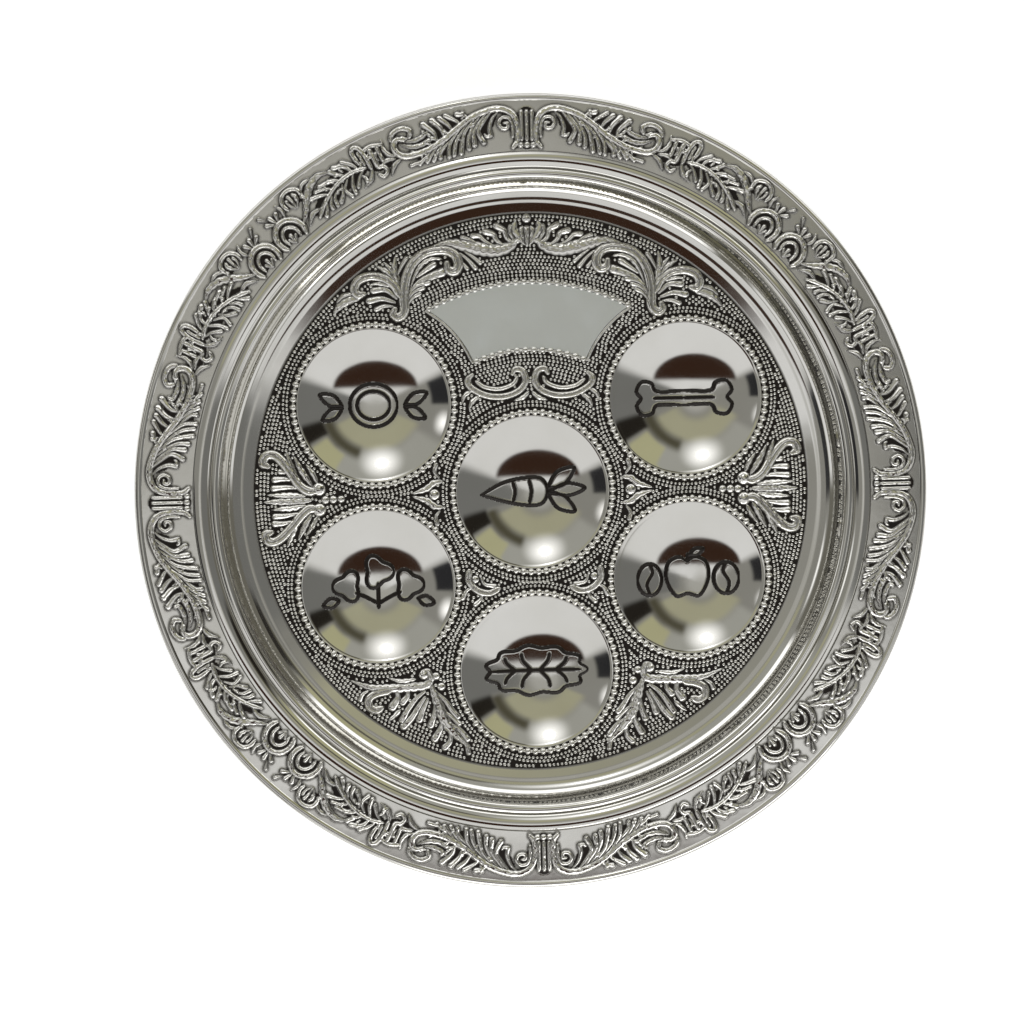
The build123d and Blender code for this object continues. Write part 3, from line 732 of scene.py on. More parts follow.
fan = [
    ([(-112, -1.2), (-120, -1.4), (-136.4, -1.6)], 3.7, 1.7, "leaf", 0.3),
    ([(-115, 1), (-124, 1.4), (-134.4, 2)], 3.0, 1.4, "leaf"),
    ([(-115, -3.8), (-123, -4.8), (-132, -5.6)], 3.0, 1.4, "leaf"),
    # broad double leaves to both sides
    ([(-109.6, 3.4), (-113.4, 3.4), (-118, 6.4), (-122, 12.4), (-126, 18.2), (-130, 21.8), (-134.2, 21.8),
      (-136, 18.2), (-133.4, 16.4)], 4.0, 1.8, "stem", 0.35),
    ([(-109.6, -5.8), (-113.4, -5.6), (-117.6, -9), (-122, -14.2), (-127, -19.2), (-131, -21.6),
      (-134.4, -21.2), (-135.4, -17.8), (-132.6, -16.8)], 4.0, 1.8, "stem", 0.35),
    ([(-108.2, 4.2)], 5.4, 1.9, "stem"),
    ([(-108.2, -6.2)], 5.4, 1.9, "stem"),
    ([(-118, 5), (-124, 5.6), (-131, 5.2)], 2.9, 1.3, "lobe"),
    ([(-121, 9.2), (-126, 9.8), (-130.4, 9.6)], 2.9, 1.3, "lobe"),
    ([(-123.6, 12.8), (-127.6, 13.6)], 2.5, 1.2, "lobe"),
    ([(-118.6, -7.6), (-124.6, -8.6), (-130.6, -9)], 2.9, 1.3, "lobe"),
    ([(-121.6, -11.6), (-126.6, -12.6), (-131, -12.6)], 2.9, 1.3, "lobe"),
    ([(-111.6, 6), (-114.4, 10), (-117.4, 15), (-120.4, 21.4)], 2.7, 1.3, "leaf", 0.2),
    ([(-109, 7.4), (-111, 12), (-114.6, 17.4)], 2.3, 1.2, "leaf"),
    ([(-119.6, 12), (-122.4, 17.6), (-124, 23.6)], 2.5, 1.2, "leaf"),
    ([(-112.4, -8.4), (-115.4, -13.4), (-119.4, -21.4)], 2.7, 1.3, "leaf", 0.2),
    ([(-109.4, -9.4), (-112, -14.4), (-115.4, -19.4)], 2.3, 1.2, "leaf"),
    ([(-119.6, -14), (-122.6, -19), (-125, -25)], 2.5, 1.2, "leaf"),
    ([(-105.2, -1.2)], 3.5, 1.5, "stem"),
    ([(-101.2, -1.1)], 3.4, 1.5, "stem"),
    ([(-97.2, -1)], 3.2, 1.4, "stem"),
]
spray = [
    ([(-57.4, -92.4), (-58.4, -89.8), (-55.6, -89.8), (-54.4, -93.6), (-57, -96.8), (-65, -97.4),
      (-75, -97.6), (-85, -96.8), (-95.6, -92.8)], 3.9, 1.7, "leaf", 0.3),
    ([(-57.8, -91.4)], 4.0, 1.6, "stem"),
    ([(-61.6, -93.4), (-69.4, -94.2), (-76, -92.2)], 2.3, 1.2, "leaf"),
    ([(-75, -98.8), (-82, -100.2), (-85.8, -102.8), (-85.6, -106.8), (-82.4, -108.6), (-79.4, -107.4)],
     3.5, 1.6, "stem", 0.3),
    ([(-71.6, -98.8), (-71.4, -103), (-74.2, -107.2)], 3.7, 1.5, "lobe", 0.35),
    ([(-66, -99), (-66.4, -102), (-68.8, -105)], 3.1, 1.4, "lobe", 0.3),
    ([(-86, -98.4), (-89, -100.4), (-90.4, -103)], 2.4, 1.1, "lobe"),
    ([(-57.5, -99.8), (-62, -103.4), (-66, -108.4), (-69.4, -114)], 3.0, 1.5, "lobe", 0.3),
    ([(-57.5, -102.8), (-61, -107.8), (-64.6, -113.2), (-68.6, -117.2)], 3.4, 1.6, "lobe", 0.3),
    ([(-56, -103.8), (-58.6, -108.8), (-60.6, -114.2)], 3.1, 1.4, "lobe", 0.3),
    ([(-70, -108.6), (-73.4, -112), (-76.4, -114.2)], 2.2, 1.1, "leaf"),
    ([(-54.4, -96.2), (-52, -102.8), (-49.6, -109.8), (-46.6, -116.8), (-41.4, -123.2), (-34.6, -129.4)],
     4.4, 1.8, "leaf", 0.3),
    ([(-52.4, -106.8), (-53, -111.8), (-55, -117.2)], 3.1, 1.4, "lobe", 0.3),
    ([(-48.6, -114.8), (-50.4, -119.8), (-53, -124.2)], 3.4, 1.4, "lobe", 0.3),
    ([(-44.8, -120.8), (-45.4, -125.8), (-48, -128.8)], 3.0, 1.3, "lobe", 0.3),
    ([(-51, -101), (-47, -105), (-44, -109.6), (-41.2, -113.2)], 2.9, 1.4, "lobe", 0.25),
    ([(-48.4, -110), (-44.4, -113), (-40.4, -116.8)], 2.5, 1.2, "lobe"),
    ([(-45, -116.8), (-40.4, -119.8), (-36.4, -124.8)], 2.9, 1.3, "lobe", 0.25),
    ([(-40.6, -124.2), (-37, -128), (-36, -132)], 2.4, 1.1, "lobe"),
    ([(-51.6, -92.2)], 3.3, 1.4, "stem"),
    ([(-49, -97.6)], 3.5, 1.4, "stem"),
]
sprigs = [
    ([(-45.6, 6.6), (-50, 6), (-54, 3), (-61.4, 0.6)], 2.9, 1.4, "leaf", 0.25),
    ([(-45.6, -6.6), (-50, -6), (-54, -3), (-61.4, -0.6)], 2.9, 1.4, "leaf", 0.25),
    ([(-50, 0)], 4.4, 1.5, "stem"),
    ([(-47.6, 8.4), (-49.6, 11.4), (-49, 15)], 2.3, 1.1, "lobe"),
    ([(-47.6, -8.4), (-49.6, -11.4), (-49, -15)], 2.3, 1.1, "lobe"),
    ([(-33.4, -39), (-33.6, -44.4), (-29.6, -49.2), (-23.4, -50.8), (-18.4, -48.6)], 3.0, 1.5, "stem", 0.3),
    ([(-27.4, -43), (-25.4, -46.4), (-20.6, -47.4)], 2.4, 1.2, "lobe"),
    ([(-31.6, -47.4), (-35, -49.4), (-37, -53)], 2.4, 1.2, "lobe"),
    ([(-27, -51), (-28, -54), (-30.6, -56.4)], 2.4, 1.2, "lobe"),
    ([(-30.4, -43.6)], 3.3, 1.3, "stem"),
]
ornament = {"crest": crest, "plaqueScrolls": plaqueScroll, "sidePalmettes": fan, "lowerSprays": spray,
            "sprigs": sprigs}
fullness = 1.28     # how much broader than drawn the leaves are struck
reliefMasks = []
for name, strokes in ornament.items():
    broad = [(path, width * fullness) + tuple(rest) for path, width, *rest in strokes]
    mesh, mask = panelRelief(name, mirrored(broad))
    reliefMasks.append(mask)
    newPiece(name, mesh, struckSilver, "antique_silver", "centre_panel")
print("panel ornament raised:", len(ornament), "pieces")


# a plain pictogram of each food on the floor of its bowl: raised shapes inside dark outlines, blackening
# with painted shade on their flanks

def ring(width, height, centre=(0, 0), ripple=0, waves=0, points=40):
    return [(centre[0] + width * math.cos(t) * (1 + ripple * math.cos(waves * t)),
             centre[1] + height * math.sin(t) * (1 + ripple * math.cos(waves * t)))
            for t in np.linspace(0, 2 * math.pi, points + 1)]


def leafOutline(root, tip, belly):
    (x0, y0), (x1, y1) = root, tip
    mx, my = (x0 + x1) / 2, (y0 + y1) / 2
    nx, ny = (y1 - y0) * belly, (x0 - x1) * belly
    return [root, (mx + nx, my + ny), tip, (mx - nx, my - ny), root]


def bothSides(lines):
    return lines + [[(-x, y) for x, y in line] for line in lines]


emblem = {"line": 2.2, "height": 0.3, "raised": 1.0, "raisedFrom": 0.3, "outlineShadeGain": 3.5, "cell": 0.34,
          "stretch": (1.04, 1.16), "shortest": 5}       # lines with fewer points are only veins and stalks
emblemLines = {
    "egg": [ring(11.5, 9.4), ring(8, 6.2)]
    + bothSides([leafOutline((15, 0), (26, 5), 0.2), leafOutline((15, -1), (25, -6), 0.2)]),
    "shank_bone": bothSides([
        [(0, 3.2), (13, 3), (16, 6.6), (21, 7.2), (23.6, 3.2), (21.4, 0), (23.6, -3.2), (21, -7.2),
         (16, -6.6), (13, -3), (0, -3.2)],
        [(0, 0), (10, 0), (15, 0)]]),
    "bitter_herb": [
        [(-25, -1), (-14, 4), (-3, 6), (5, 5.4), (8, 0), (5, -5.4), (-3, -6), (-14, -4), (-25, -1)],
        [(-9, 4), (-8, 0), (-9, -4)], [(-1, 5), (0, 0), (-1, -5)], leafOutline((8, 1), (21, 10), 0.2),
        leafOutline((9, 0), (26, 1), 0.16), leafOutline((8, -1), (21, -9), 0.2)],
    "greens": [[(0, -10), (0, -4), (0, 1)], ring(6.4, 6.4, (0, 6), 0.22, 3)]
    + bothSides([[(0, -8), (6, -5), (11, -3)], ring(6, 6, (15, 0), 0.22, 3),
                 leafOutline((19, -6), (27, -8), 0.25)]),
    "sweet_paste": [
        [(0, 6.4), (4, 8.6), (9.4, 6), (10.4, -1), (6, -8.4), (0, -7.6), (-6, -8.4), (-10.4, -1), (-9.4, 6),
         (-4, 8.6), (0, 6.4)],
        [(0, 6.4), (0.6, 10)], leafOutline((1, 9.4), (8, 12), 0.2)]
    + bothSides([ring(6, 7, (19, -1)), [(19, 6), (17.6, 2), (20.4, -3), (19, -8)]]),
    "lettuce": [ring(24, 10.4, (0, 0), 0.06, 11, 88), [(-22, 0), (0, 0), (22, 0)]]
    + bothSides([[(2, 0), (6, 4), (7, 7.4)], [(2, 0), (6, -4), (7, -7.4)], [(10, 0), (14, 3), (15.4, 5.6)],
                 [(10, 0), (14, -3), (15.4, -5.6)]]),
}


def insideOutline(xs, ys, path):
    gx, gy = np.meshgrid(xs, ys)
    inside = np.zeros(gx.shape, bool)
    for (x0, y0), (x1, y1) in zip(path, np.roll(path, -1, axis=0)):
        if y0 != y1:
            inside ^= ((y0 > gy) != (y1 > gy)) & (gx < (x1 - x0) * (gy - y0) / (y1 - y0) + x0)
    return inside


def makeEmblem(food, lines, centre, e):
    cx, cy = centre
    wide, high = e["stretch"]
    lines = [[(cx + x * wide, cy + y * high) for x, y in line] for line in lines]
    xs, ys, ink = strokeField([(line, e["line"], e["height"], "stem") for line in lines], e["cell"])
    body = np.zeros(ink.shape, bool)
    for line in lines:
        if len(line) >= e["shortest"]:
            body |= insideOutline(xs, ys, smoothPath(line))
    raised = blurred(blurred(body.astype(float), 1), 1) * e["raised"]
    field = np.where((ink > 0) | (raised > e["raisedFrom"]), np.maximum(ink, 0) + raised, ink)
    # the outlines and the flanks under them are dark all through: blackening with painted shade
    shade = np.clip(ink / e["height"] * e["outlineShadeGain"], 0, 1)

    def bowlFloor(x, y):
        return bowlHeight(np.hypot(x - cx, y - cy))

    mesh = fieldMesh(food + "_emblem", xs, ys, field, shade, bowlFloor)
    newPiece(food + "_emblem", mesh, struckSilver, "polished_silver")


for food, lines in emblemLines.items():
    makeEmblem(food, lines, bowlCentres[food], emblem)
print("emblems raised")


# beads and pebbles by geometry nodes

def newTree(name, inputs):
    tree = bpy.data.node_groups.new(name, "GeometryNodeTree")
    tree.interface.new_socket("Geometry", in_out="INPUT", socket_type="NodeSocketGeometry")
    for label, kind in inputs.items():
        tree.interface.new_socket(label, in_out="INPUT", socket_type="NodeSocket" + kind)
    tree.interface.new_socket("Geometry", in_out="OUTPUT", socket_type="NodeSocketGeometry")
    return tree, addNode(tree, "NodeGroupInput").outputs


def endTree(tree, geometry, material):
    smooth = addNode(tree, "GeometryNodeSetShadeSmooth", {"Geometry": geometry})
    finish = addNode(tree, "GeometryNodeSetMaterial", {"Geometry": smooth.outputs[0], "Material": material})
    addNode(tree, "NodeGroupOutput", {"Geometry": finish.outputs[0]})


def beadedWireTree():
    tree, given = newTree("beadedWire", {
        "Ring Radius": "Float", "Bead Count": "Int", "Bead Radius": "Float", "Bead Width": "Float",
        "Bead Segments": "Int", "Bead Rings": "Int", "Wire Radius": "Float", "Wire Steps": "Int",
        "Wire Sides": "Int", "Lift": "Float", "Metal": "Material"})
    ring = addNode(tree, "GeometryNodeMeshCircle", {
        "Vertices": given["Bead Count"], "Radius": given["Ring Radius"]}).outputs[0]
    bead = addNode(tree, "GeometryNodeMeshUVSphere", {
        "Segments": given["Bead Segments"], "Rings": given["Bead Rings"],
        "Radius": given["Bead Radius"]}).outputs[0]
    place = addNode(tree, "GeometryNodeInputPosition").outputs[0]
    outward = addNode(tree, "FunctionNodeAlignRotationToVector", {"Vector": place}, axis="X").outputs[0]
    size = addNode(tree, "ShaderNodeCombineXYZ", {"X": 1.0, "Y": given["Bead Width"], "Z": 1.0}).outputs[0]
    beads = addNode(tree, "GeometryNodeInstanceOnPoints", {
        "Points": ring, "Instance": bead, "Rotation": outward, "Scale": size}).outputs[0]
    real = addNode(tree, "GeometryNodeRealizeInstances", {"Geometry": beads}).outputs[0]
    up = addNode(tree, "ShaderNodeCombineXYZ", {"Z": given["Lift"]}).outputs[0]
    lifted = addNode(tree, "GeometryNodeSetPosition", {"Geometry": real, "Offset": up}).outputs[0]
    path = addNode(tree, "GeometryNodeCurvePrimitiveCircle", {
        "Resolution": given["Wire Steps"], "Radius": given["Ring Radius"]}).outputs[0]
    section = addNode(tree, "GeometryNodeCurvePrimitiveCircle", {
        "Resolution": given["Wire Sides"], "Radius": given["Wire Radius"]}).outputs[0]
    wire = addNode(tree, "GeometryNodeCurveToMesh", {"Curve": path, "Profile Curve": section}).outputs[0]
    both = addNode(tree, "GeometryNodeJoinGeometry")
    for geometry in (wire, lifted):
        tree.links.new(geometry, both.inputs[0])
    endTree(tree, both.outputs[0], given["Metal"])
    return tree


def studsTree():
    tree, given = newTree("studsOnPoints", {
        "Stud Radius": "Float", "Stud Height": "Float", "Size Spread": "Float", "Segments": "Int",
        "Rings": "Int", "Seed": "Int", "Metal": "Material"})
    stud = addNode(tree, "GeometryNodeMeshUVSphere", {
        "Segments": given["Segments"], "Rings": given["Rings"], "Radius": given["Stud Radius"]}).outputs[0]
    low, high = [addNode(tree, "ShaderNodeMath", {0: 1.0, 1: given["Size Spread"]}, operation=way).outputs[0]
                 for way in ("SUBTRACT", "ADD")]
    size = addNode(tree, "FunctionNodeRandomValue", {2: low, 3: high, "Seed": given["Seed"]},
                   data_type="FLOAT").outputs[1]
    scale = addNode(tree, "ShaderNodeCombineXYZ", {
        "X": size, "Y": size, "Z": given["Stud Height"]}).outputs[0]
    spots = addNode(tree, "GeometryNodeMeshToPoints", {"Mesh": given["Geometry"]}).outputs[0]
    studs = addNode(tree, "GeometryNodeInstanceOnPoints", {
        "Points": spots, "Instance": stud, "Scale": scale}).outputs[0]
    real = addNode(tree, "GeometryNodeRealizeInstances", {"Geometry": studs}).outputs[0]
    endTree(tree, real, given["Metal"])
    return tree


def grow(name, tree, points, values):
    start = bpy.data.meshes.new(name + "Points")
    start.from_pydata([(x * mm, y * mm, z * mm) for x, y, z in points], [], [])
    helper = newObject(name + "Helper", start)
    modifier = helper.modifiers.new("grow", "NODES")
    modifier.node_group = tree
    for item in tree.interface.items_tree:
        if item.in_out == "INPUT" and item.name in values:
            modifier[item.identifier] = values[item.name]
    mesh = bpy.data.meshes.new_from_object(helper.evaluated_get(bpy.context.evaluated_depsgraph_get()))
    mesh.name = name
    bpy.data.objects.remove(helper)
    return mesh


collar = {"ring": 40.7, "beads": 66, "beadRadius": 1.95, "beadWidth": 0.88, "beadSegments": 10,
          "beadRings": 7, "wireRadius": 0.9, "wireSteps": 132, "wireSides": 10, "lift": 0.6}
wireTree = beadedWireTree()
for food, (cx, cy) in bowlCentres.items():
    name = food + "_beads"
    mesh = grow(name, wireTree, [], {
        "Ring Radius": collar["ring"] * mm, "Bead Count": collar["beads"],
        "Bead Radius": collar["beadRadius"] * mm, "Bead Width": collar["beadWidth"],
        "Bead Segments": collar["beadSegments"], "Bead Rings": collar["beadRings"],
        "Wire Radius": collar["wireRadius"] * mm, "Wire Steps": collar["wireSteps"],
        "Wire Sides": collar["wireSides"], "Lift": collar["lift"] * mm, "Metal": beadSilver})
    mesh.transform(Matrix.Translation(Vector((cx, cy, panelTop)) * mm))
    newPiece(name, mesh, None, "bead_silver", food + "_bead_collar")
print("bead collars made")

plaque = {"inner": 73.0, "outer": 105.5, "side": 55.0, "frame": 0.9, "arcSteps": 60, "flankSteps": 30,
          "wireWidth": 1.7, "wireHeight": 0.7, "beadPitch": 4.2, "beadRadius": 1.7, "beadLift": 0.45,
          "beadHeight": 1.0, "beadSpread": 0.04, "beadSegments": 10, "beadRings": 7}
studSeed = 7


def plaqueCorner(radius, side):
    p = bowl["pitch"]
    swing = math.acos((radius ** 2 + p ** 2 - side ** 2) / (2 * radius * p))
    return math.pi / 2 - (math.radians(60) - swing)     # the bowls beside it are 60 degrees off its middle


def plaqueEdges(margin):
    p = plaque
    side = p["side"] - margin
    edges, ends = {}, []
    cx, cy = bowlCentres["shank_bone"]
    for name, radius in (("top", p["outer"] + margin), ("bottom", p["inner"] - margin)):
        start = plaqueCorner(radius, side)
        edges[name] = [polar(radius, t) for t in np.linspace(start, math.pi - start, p["arcSteps"])]
        ends.append(math.atan2(radius * math.sin(start) - cy, radius * math.cos(start) - cx))
    ends[1] += 2 * math.pi if ends[1] < ends[0] else 0
    edges["right"] = [polar(side, t, (cx, cy)) for t in np.linspace(ends[0], ends[1], p["flankSteps"])]
    edges["left"] = [(-x, y) for x, y in edges["right"]]
    return edges


frameEdges = plaqueEdges(plaque["frame"])
mesh, frameMask = panelRelief("plaqueWire", [(edge, plaque["wireWidth"], plaque["wireHeight"], "stem")
                                             for edge in frameEdges.values()])
reliefMasks.append(frameMask)
newPiece("plaqueWire", mesh, struckSilver, "bead_silver", "plaque_bead_frame")
beadSpots = []
for side in ("top", "bottom"):
    xs, ys = np.array(frameEdges[side]).T
    run = np.concatenate([[0], np.cumsum(np.hypot(np.diff(xs), np.diff(ys)))])
    count = round(run[-1] / plaque["beadPitch"])
    for distance in (np.arange(count) + 0.5) * run[-1] / count:
        spot = (np.interp(distance, run, xs), np.interp(distance, run, ys), panelTop + plaque["beadLift"])
        beadSpots.append(spot)
studTree = studsTree()
mesh = grow("plaqueBeads", studTree, beadSpots, {
    "Stud Radius": plaque["beadRadius"] * mm, "Stud Height": plaque["beadHeight"],
    "Size Spread": plaque["beadSpread"], "Segments": plaque["beadSegments"], "Rings": plaque["beadRings"],
    "Seed": studSeed, "Metal": beadSilver})
newPiece("plaqueBeads", mesh, None, "bead_silver", "plaque_bead_frame")
print("plaque framed:", len(beadSpots), "beads")

pebbles = {"pitch": 2.1, "row": 1.86, "radius": 1.02, "height": 0.74, "spread": 0.14, "segments": 6,
           "rings": 3, "edge": 139.6, "collar": 43.6, "hug": 2, "hugFrom": 0.15, "fewest": 6,
           "besideRelief": -0.35, "seed": 3}
slack = 0.05        # so that a row stays on its own limit


def onRelief(x, y, clearance):
    for xs, ys, field in reliefMasks:
        j = int(round((x - xs[0]) / (xs[1] - xs[0])))
        i = int(round((y - ys[0]) / (ys[1] - ys[0])))
        if 0 <= i < len(ys) and 0 <= j < len(xs) and field[i, j] > clearance:
            return True
    return False


def onPlaque(x, y):
    r = math.hypot(x, y)
    beside = min(math.dist((x, y), bowlCentres["shank_bone"]), math.dist((x, y), bowlCentres["egg"]))
    return y > 0 and plaque["inner"] < r < plaque["outer"] and beside > plaque["side"]


def pebbleSpots(p):
    rng = np.random.default_rng(p["seed"])
    spots = []

    def tryRow(centre, radius, hugging):
        count = max(p["fewest"], round(2 * math.pi * radius / p["pitch"]))
        start = rng.random() * 2 * math.pi
        reserved = p["collar"] + (0 if hugging else p["hug"] * p["row"])
        for k in range(count):
            x, y = polar(radius, start + 2 * math.pi * k / count, centre)
            gap = min(math.dist((x, y), c) for c in bowlCentres.values())
            if gap < reserved - slack or math.hypot(x, y) > p["edge"]:
                continue
            if hugging and gap < radius - 2 * slack:        # nearer to another bowl than to its own
                continue
            if not onPlaque(x, y) and not onRelief(x, y, p["besideRelief"]):
                spots.append((x, y, panelTop))

    for centre in bowlCentres.values():
        for k in range(p["hug"]):
            tryRow(centre, p["collar"] + (k + p["hugFrom"]) * p["row"], True)
    radius = p["edge"]
    while radius > p["collar"]:
        tryRow((0, 0), radius, False)
        radius -= p["row"]
    return spots


spots = pebbleSpots(pebbles)
mesh = grow("pebbledGround", studTree, spots, {
    "Stud Radius": pebbles["radius"] * mm, "Stud Height": pebbles["height"],
    "Size Spread": pebbles["spread"], "Segments": pebbles["segments"], "Rings": pebbles["rings"],
    "Seed": studSeed, "Metal": pebbleSilver})
newPiece("pebbledGround", mesh, None, "antique_silver", "centre_panel")
print("pebbles:", len(spots))

for name, material in {"plaque": satinSilver, "rim_wire": steelWire}.items():
    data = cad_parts[name].data
    data.materials.clear()
    data.materials.append(material)
print("plaque and rim wire finished")

# stage: pale floor, soft studio dome, a strip lamp and the camera
stage = {"floor": 16.0, "floorColour": "#F1F2F4", "fill": 0.6}


def makeFloor(s):
    half = s["floor"] / 2
    mesh = bpy.data.meshes.new("floor")
    corners = [(-half, -half, 0), (half, -half, 0), (half, half, 0), (-half, half, 0)]
    mesh.from_pydata(corners, [], [(0, 1, 2, 3)])
    floor = newObject("floor", mesh)
    material = bpy.data.materials.new("paleFloor")
    tree = emptyTree(material)
    rays = addNode(tree, "ShaderNodeLightPath").outputs
    seen = rays["Is Camera Ray"]
    for kind in ("Is Glossy Ray", "Is Transmission Ray"):
        seen = addNode(tree, "ShaderNodeMath", {0: seen, 1: rays[kind]}, operation="ADD").outputs[0]
    strength = addNode(tree, "ShaderNodeMath", {0: seen, 1: s["fill"]}, operation="MULTIPLY").outputs[0]
    paint = addNode(tree, "ShaderNodeBsdfDiffuse", {"Color": linear(s["floorColour"])}).outputs[0]
    glow = addNode(tree, "ShaderNodeEmission", {"Strength": strength}).outputs[0]
    both = addNode(tree, "ShaderNodeAddShader", {0: paint, 1: glow}).outputs[0]
    addNode(tree, "ShaderNodeOutputMaterial", {"Surface": both})
    mesh.materials.append(material)


# soft strip close to the near side, so that the ornament there is the brightest
nearLamp = {"power": 0.28, "size": (0.45, 0.08), "at": (0.08, -0.33, 0.12), "towards": (0.02, -0.17, 0.02)}


def makeLamp(n):
    data = bpy.data.lights.new("nearLamp", "AREA")
    data.shape = "RECTANGLE"
    data.size, data.size_y = n["size"]
    data.energy = n["power"]
    lamp = newObject("nearLamp", data)
    lamp.location = n["at"]
    lamp.rotation_euler = (Vector(n["towards"]) - Vector(n["at"])).to_track_quat("-Z", "Y").to_euler()
    lamp.visible_camera = False


dome = {
    "zenith": "#ABAAA5", "sides": "#8C8B86", "sidesFrom": 9, "sidesSoft": 3,        # tilts in degrees
    "gap": "#35241B", "gapWide": 0.46, "gapFrom": 0.195, "gapHigh": 0.29, "gapSoft": 0.04,
    "gapFootSoft": 0.02,
    "horizon": "#6C6A62", "horizonFrom": 62, "horizonSoft": 2,
}
# turn, half width, the two tilts from straight up between which it hangs, soft edge, all in degrees; colour
domePanels = [
    (90, 66, 13, 30, 4, "#A8A68E"),         # ceiling over the far side
    (98, 50, 30, 78, 5, "#A4A49E"),         # far wall
    (43, 27, 29, 38, 4, "#4F4C3E"),
    (44, 12, 40, 78, 2, "#B0AE8C"),
    (20, 9, 37, 78, 2, "#24211D"),
    (-4, 18, 14, 78, 3, "#747472"),
    (192, 12, 38, 78, 2, "#2C2C2E"),
    (-88, 66, 4, 82, 5, "#E0E0E0"),         # white sheet on the near side
]
lowPanels = [       # the same with a strength: strips below the horizon's edge
    (92, 56, 63, 86, 3, 1.5),
    (205, 22, 66, 84, 3, 0.8),
    (-25, 20, 66, 84, 3, 0.8),
    (-98, 24, 65, 84, 3, 1.4),
]
domeLamps = [       # turn, tilt, inner and outer half angle, strength
    (94, 40, 0, 17, 1.45),
    (94, 40, 1, 4, 6.0),
    (164, 50, 0, 10, 1.4),
]


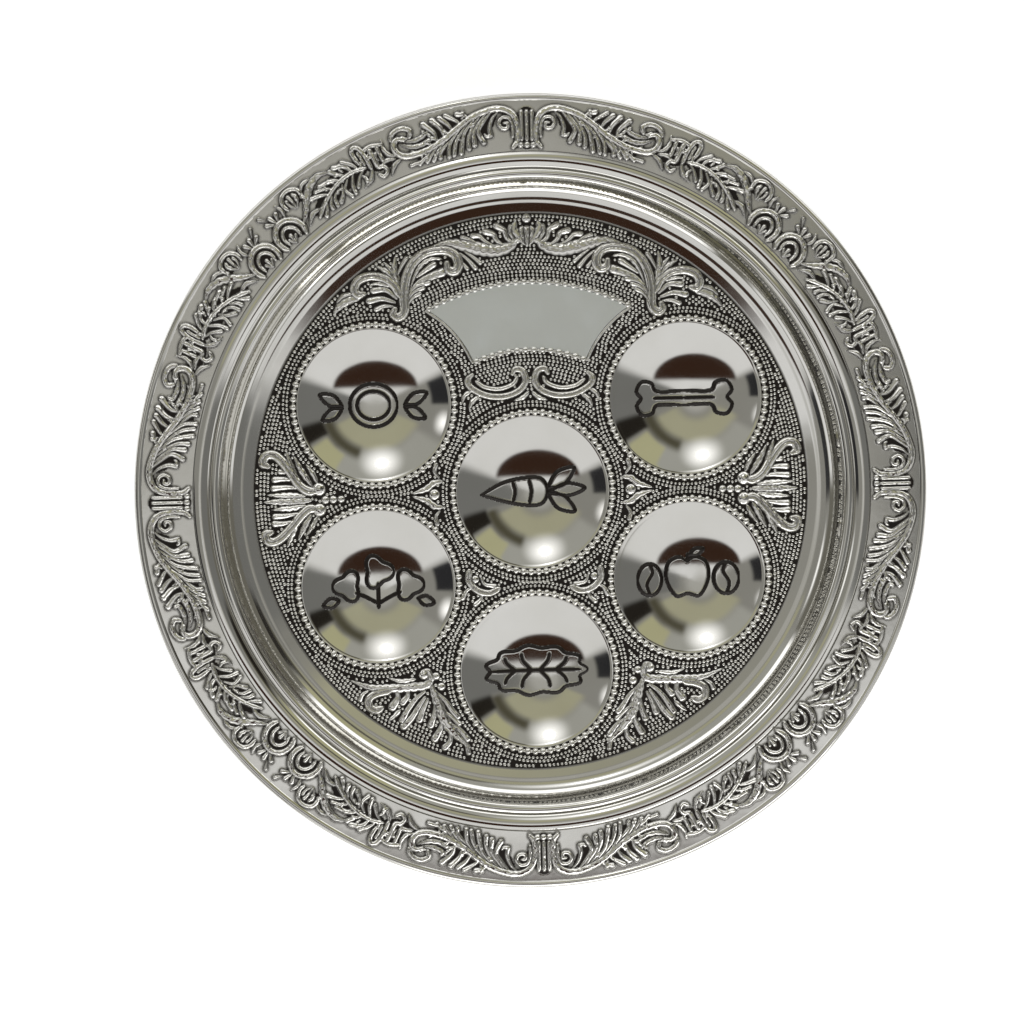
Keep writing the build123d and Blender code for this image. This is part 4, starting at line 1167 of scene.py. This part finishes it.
def makeWorld(d):
    world = bpy.data.worlds.new("studioDome")
    bpy.context.scene.world = world
    tree = emptyTree(world)
    way = addNode(tree, "ShaderNodeTexCoord").outputs["Generated"]
    axes = addNode(tree, "ShaderNodeSeparateXYZ", {"Vector": way}).outputs
    tilt = addNode(tree, "ShaderNodeMath", {0: axes["Z"]}, operation="ARCCOSINE").outputs[0]

    def product(masks):
        total = masks[0]
        for mask in masks[1:]:
            total = addNode(tree, "ShaderNodeMath", {0: total, 1: mask}, operation="MULTIPLY").outputs[0]
        return total

    def softMask(*edges):       # each edge: a value, and the degrees where the mask is nought and full
        return product([addNode(tree, "ShaderNodeMapRange", {
            "Value": value, "From Min": math.radians(nought), "From Max": math.radians(full)},
            interpolation_type="SMOOTHSTEP").outputs[0] for value, nought, full in edges])

    def tiltMask(middle, soft):
        return softMask((tilt, middle - soft, middle + soft))

    def panelMask(turn, half, low, high, soft):
        turned = addNode(tree, "ShaderNodeVectorRotate", {"Vector": way, "Angle": math.radians(-turn)},
                         rotation_type="Z_AXIS").outputs[0]
        flat = addNode(tree, "ShaderNodeSeparateXYZ", {"Vector": turned}).outputs
        bearing = addNode(tree, "ShaderNodeMath", {
            0: flat["Y"], 1: flat["X"]}, operation="ARCTAN2").outputs[0]
        off = addNode(tree, "ShaderNodeMath", {0: bearing}, operation="ABSOLUTE").outputs[0]
        return softMask((off, half + soft, half - soft), (tilt, low - soft, low + soft),
                        (tilt, high + soft, high - soft))

    def lampMask(turn, lean, inner, outer):
        flatX, flatY = polar(math.sin(math.radians(lean)), math.radians(turn))
        middle = (flatX, flatY, math.cos(math.radians(lean)))
        dot = addNode(tree, "ShaderNodeVectorMath", {
            0: way, 1: middle}, operation="DOT_PRODUCT").outputs["Value"]
        away = addNode(tree, "ShaderNodeMath", {0: dot}, operation="ARCCOSINE").outputs[0]
        return softMask((away, outer, inner))

    def gapMask():      # arched, at the foot of the white sheet
        foot, soft, footSoft = -d["gapFrom"], d["gapSoft"], d["gapFootSoft"]
        spans = {"X": (0, d["gapWide"]), "Y": (foot, foot - d["gapHigh"])}
        shares = {axis: addNode(tree, "ShaderNodeMapRange", {
            "Value": axes[axis], "From Min": low, "From Max": high}, clamp=False).outputs[0]
            for axis, (low, high) in spans.items()}
        spread = addNode(tree, "ShaderNodeCombineXYZ", shares).outputs[0]
        arch = addNode(tree, "ShaderNodeVectorMath", {0: spread}, operation="LENGTH").outputs["Value"]
        edges = [(arch, 1 + soft, 1 - soft), (axes["Y"], foot + footSoft, foot - footSoft)]
        return product([addNode(tree, "ShaderNodeMapRange", {
            "Value": value, "From Min": nought, "From Max": full}).outputs[0]
            for value, nought, full in edges])

    layers = [(tiltMask(d["sidesFrom"], d["sidesSoft"]), linear(d["sides"]))]
    layers += [(panelMask(*shape), linear(tint)) for *shape, tint in domePanels]
    layers.append((gapMask(), linear(d["gap"])))
    layers.append((tiltMask(d["horizonFrom"], d["horizonSoft"]), linear(d["horizon"])))
    layers += [(panelMask(*shape), (strength,) * 3 + (1,)) for *shape, strength in lowPanels]
    layers += [(lampMask(*shape), (strength,) * 3 + (1,)) for *shape, strength in domeLamps]
    colour = linear(d["zenith"])
    for mask, tint in layers:
        colour = addNode(tree, "ShaderNodeMix", {0: mask, 6: colour, 7: tint}, data_type="RGBA").outputs[2]
    sky = addNode(tree, "ShaderNodeBackground", {"Color": colour, "Strength": 1.0}).outputs[0]
    addNode(tree, "ShaderNodeOutputWorld", {"Surface": sky})


view = {"distance": 1.35, "tilt": 5.2, "towards": 151, "roll": 1.4, "frameMm": 514.2, "sensor": 36,
        "aim": (-12.0, -9.3, 25)}


def makeCamera(v):
    data = bpy.data.cameras.new("photoCamera")
    camera = newObject("photoCamera", data)
    data.sensor_width = v["sensor"]
    data.lens = v["sensor"] * v["distance"] / (v["frameMm"] * mm)
    tilt, towards, roll = [math.radians(v[name]) for name in ("tilt", "towards", "roll")]
    back = Vector((*polar(math.sin(tilt), towards), math.cos(tilt)))
    camera.location = Vector(v["aim"]) * mm + back * v["distance"]
    up = Vector((math.sin(roll), math.cos(roll), 0))
    right = up.cross(back).normalized()
    up = back.cross(right)
    camera.rotation_euler = Matrix((right, up, back)).transposed().to_euler()
    bpy.context.scene.camera = camera


makeFloor(stage)
makeWorld(dome)
makeLamp(nearLamp)
makeCamera(view)
bpy.context.scene.view_settings.view_transform = "Standard"
print("stage set")
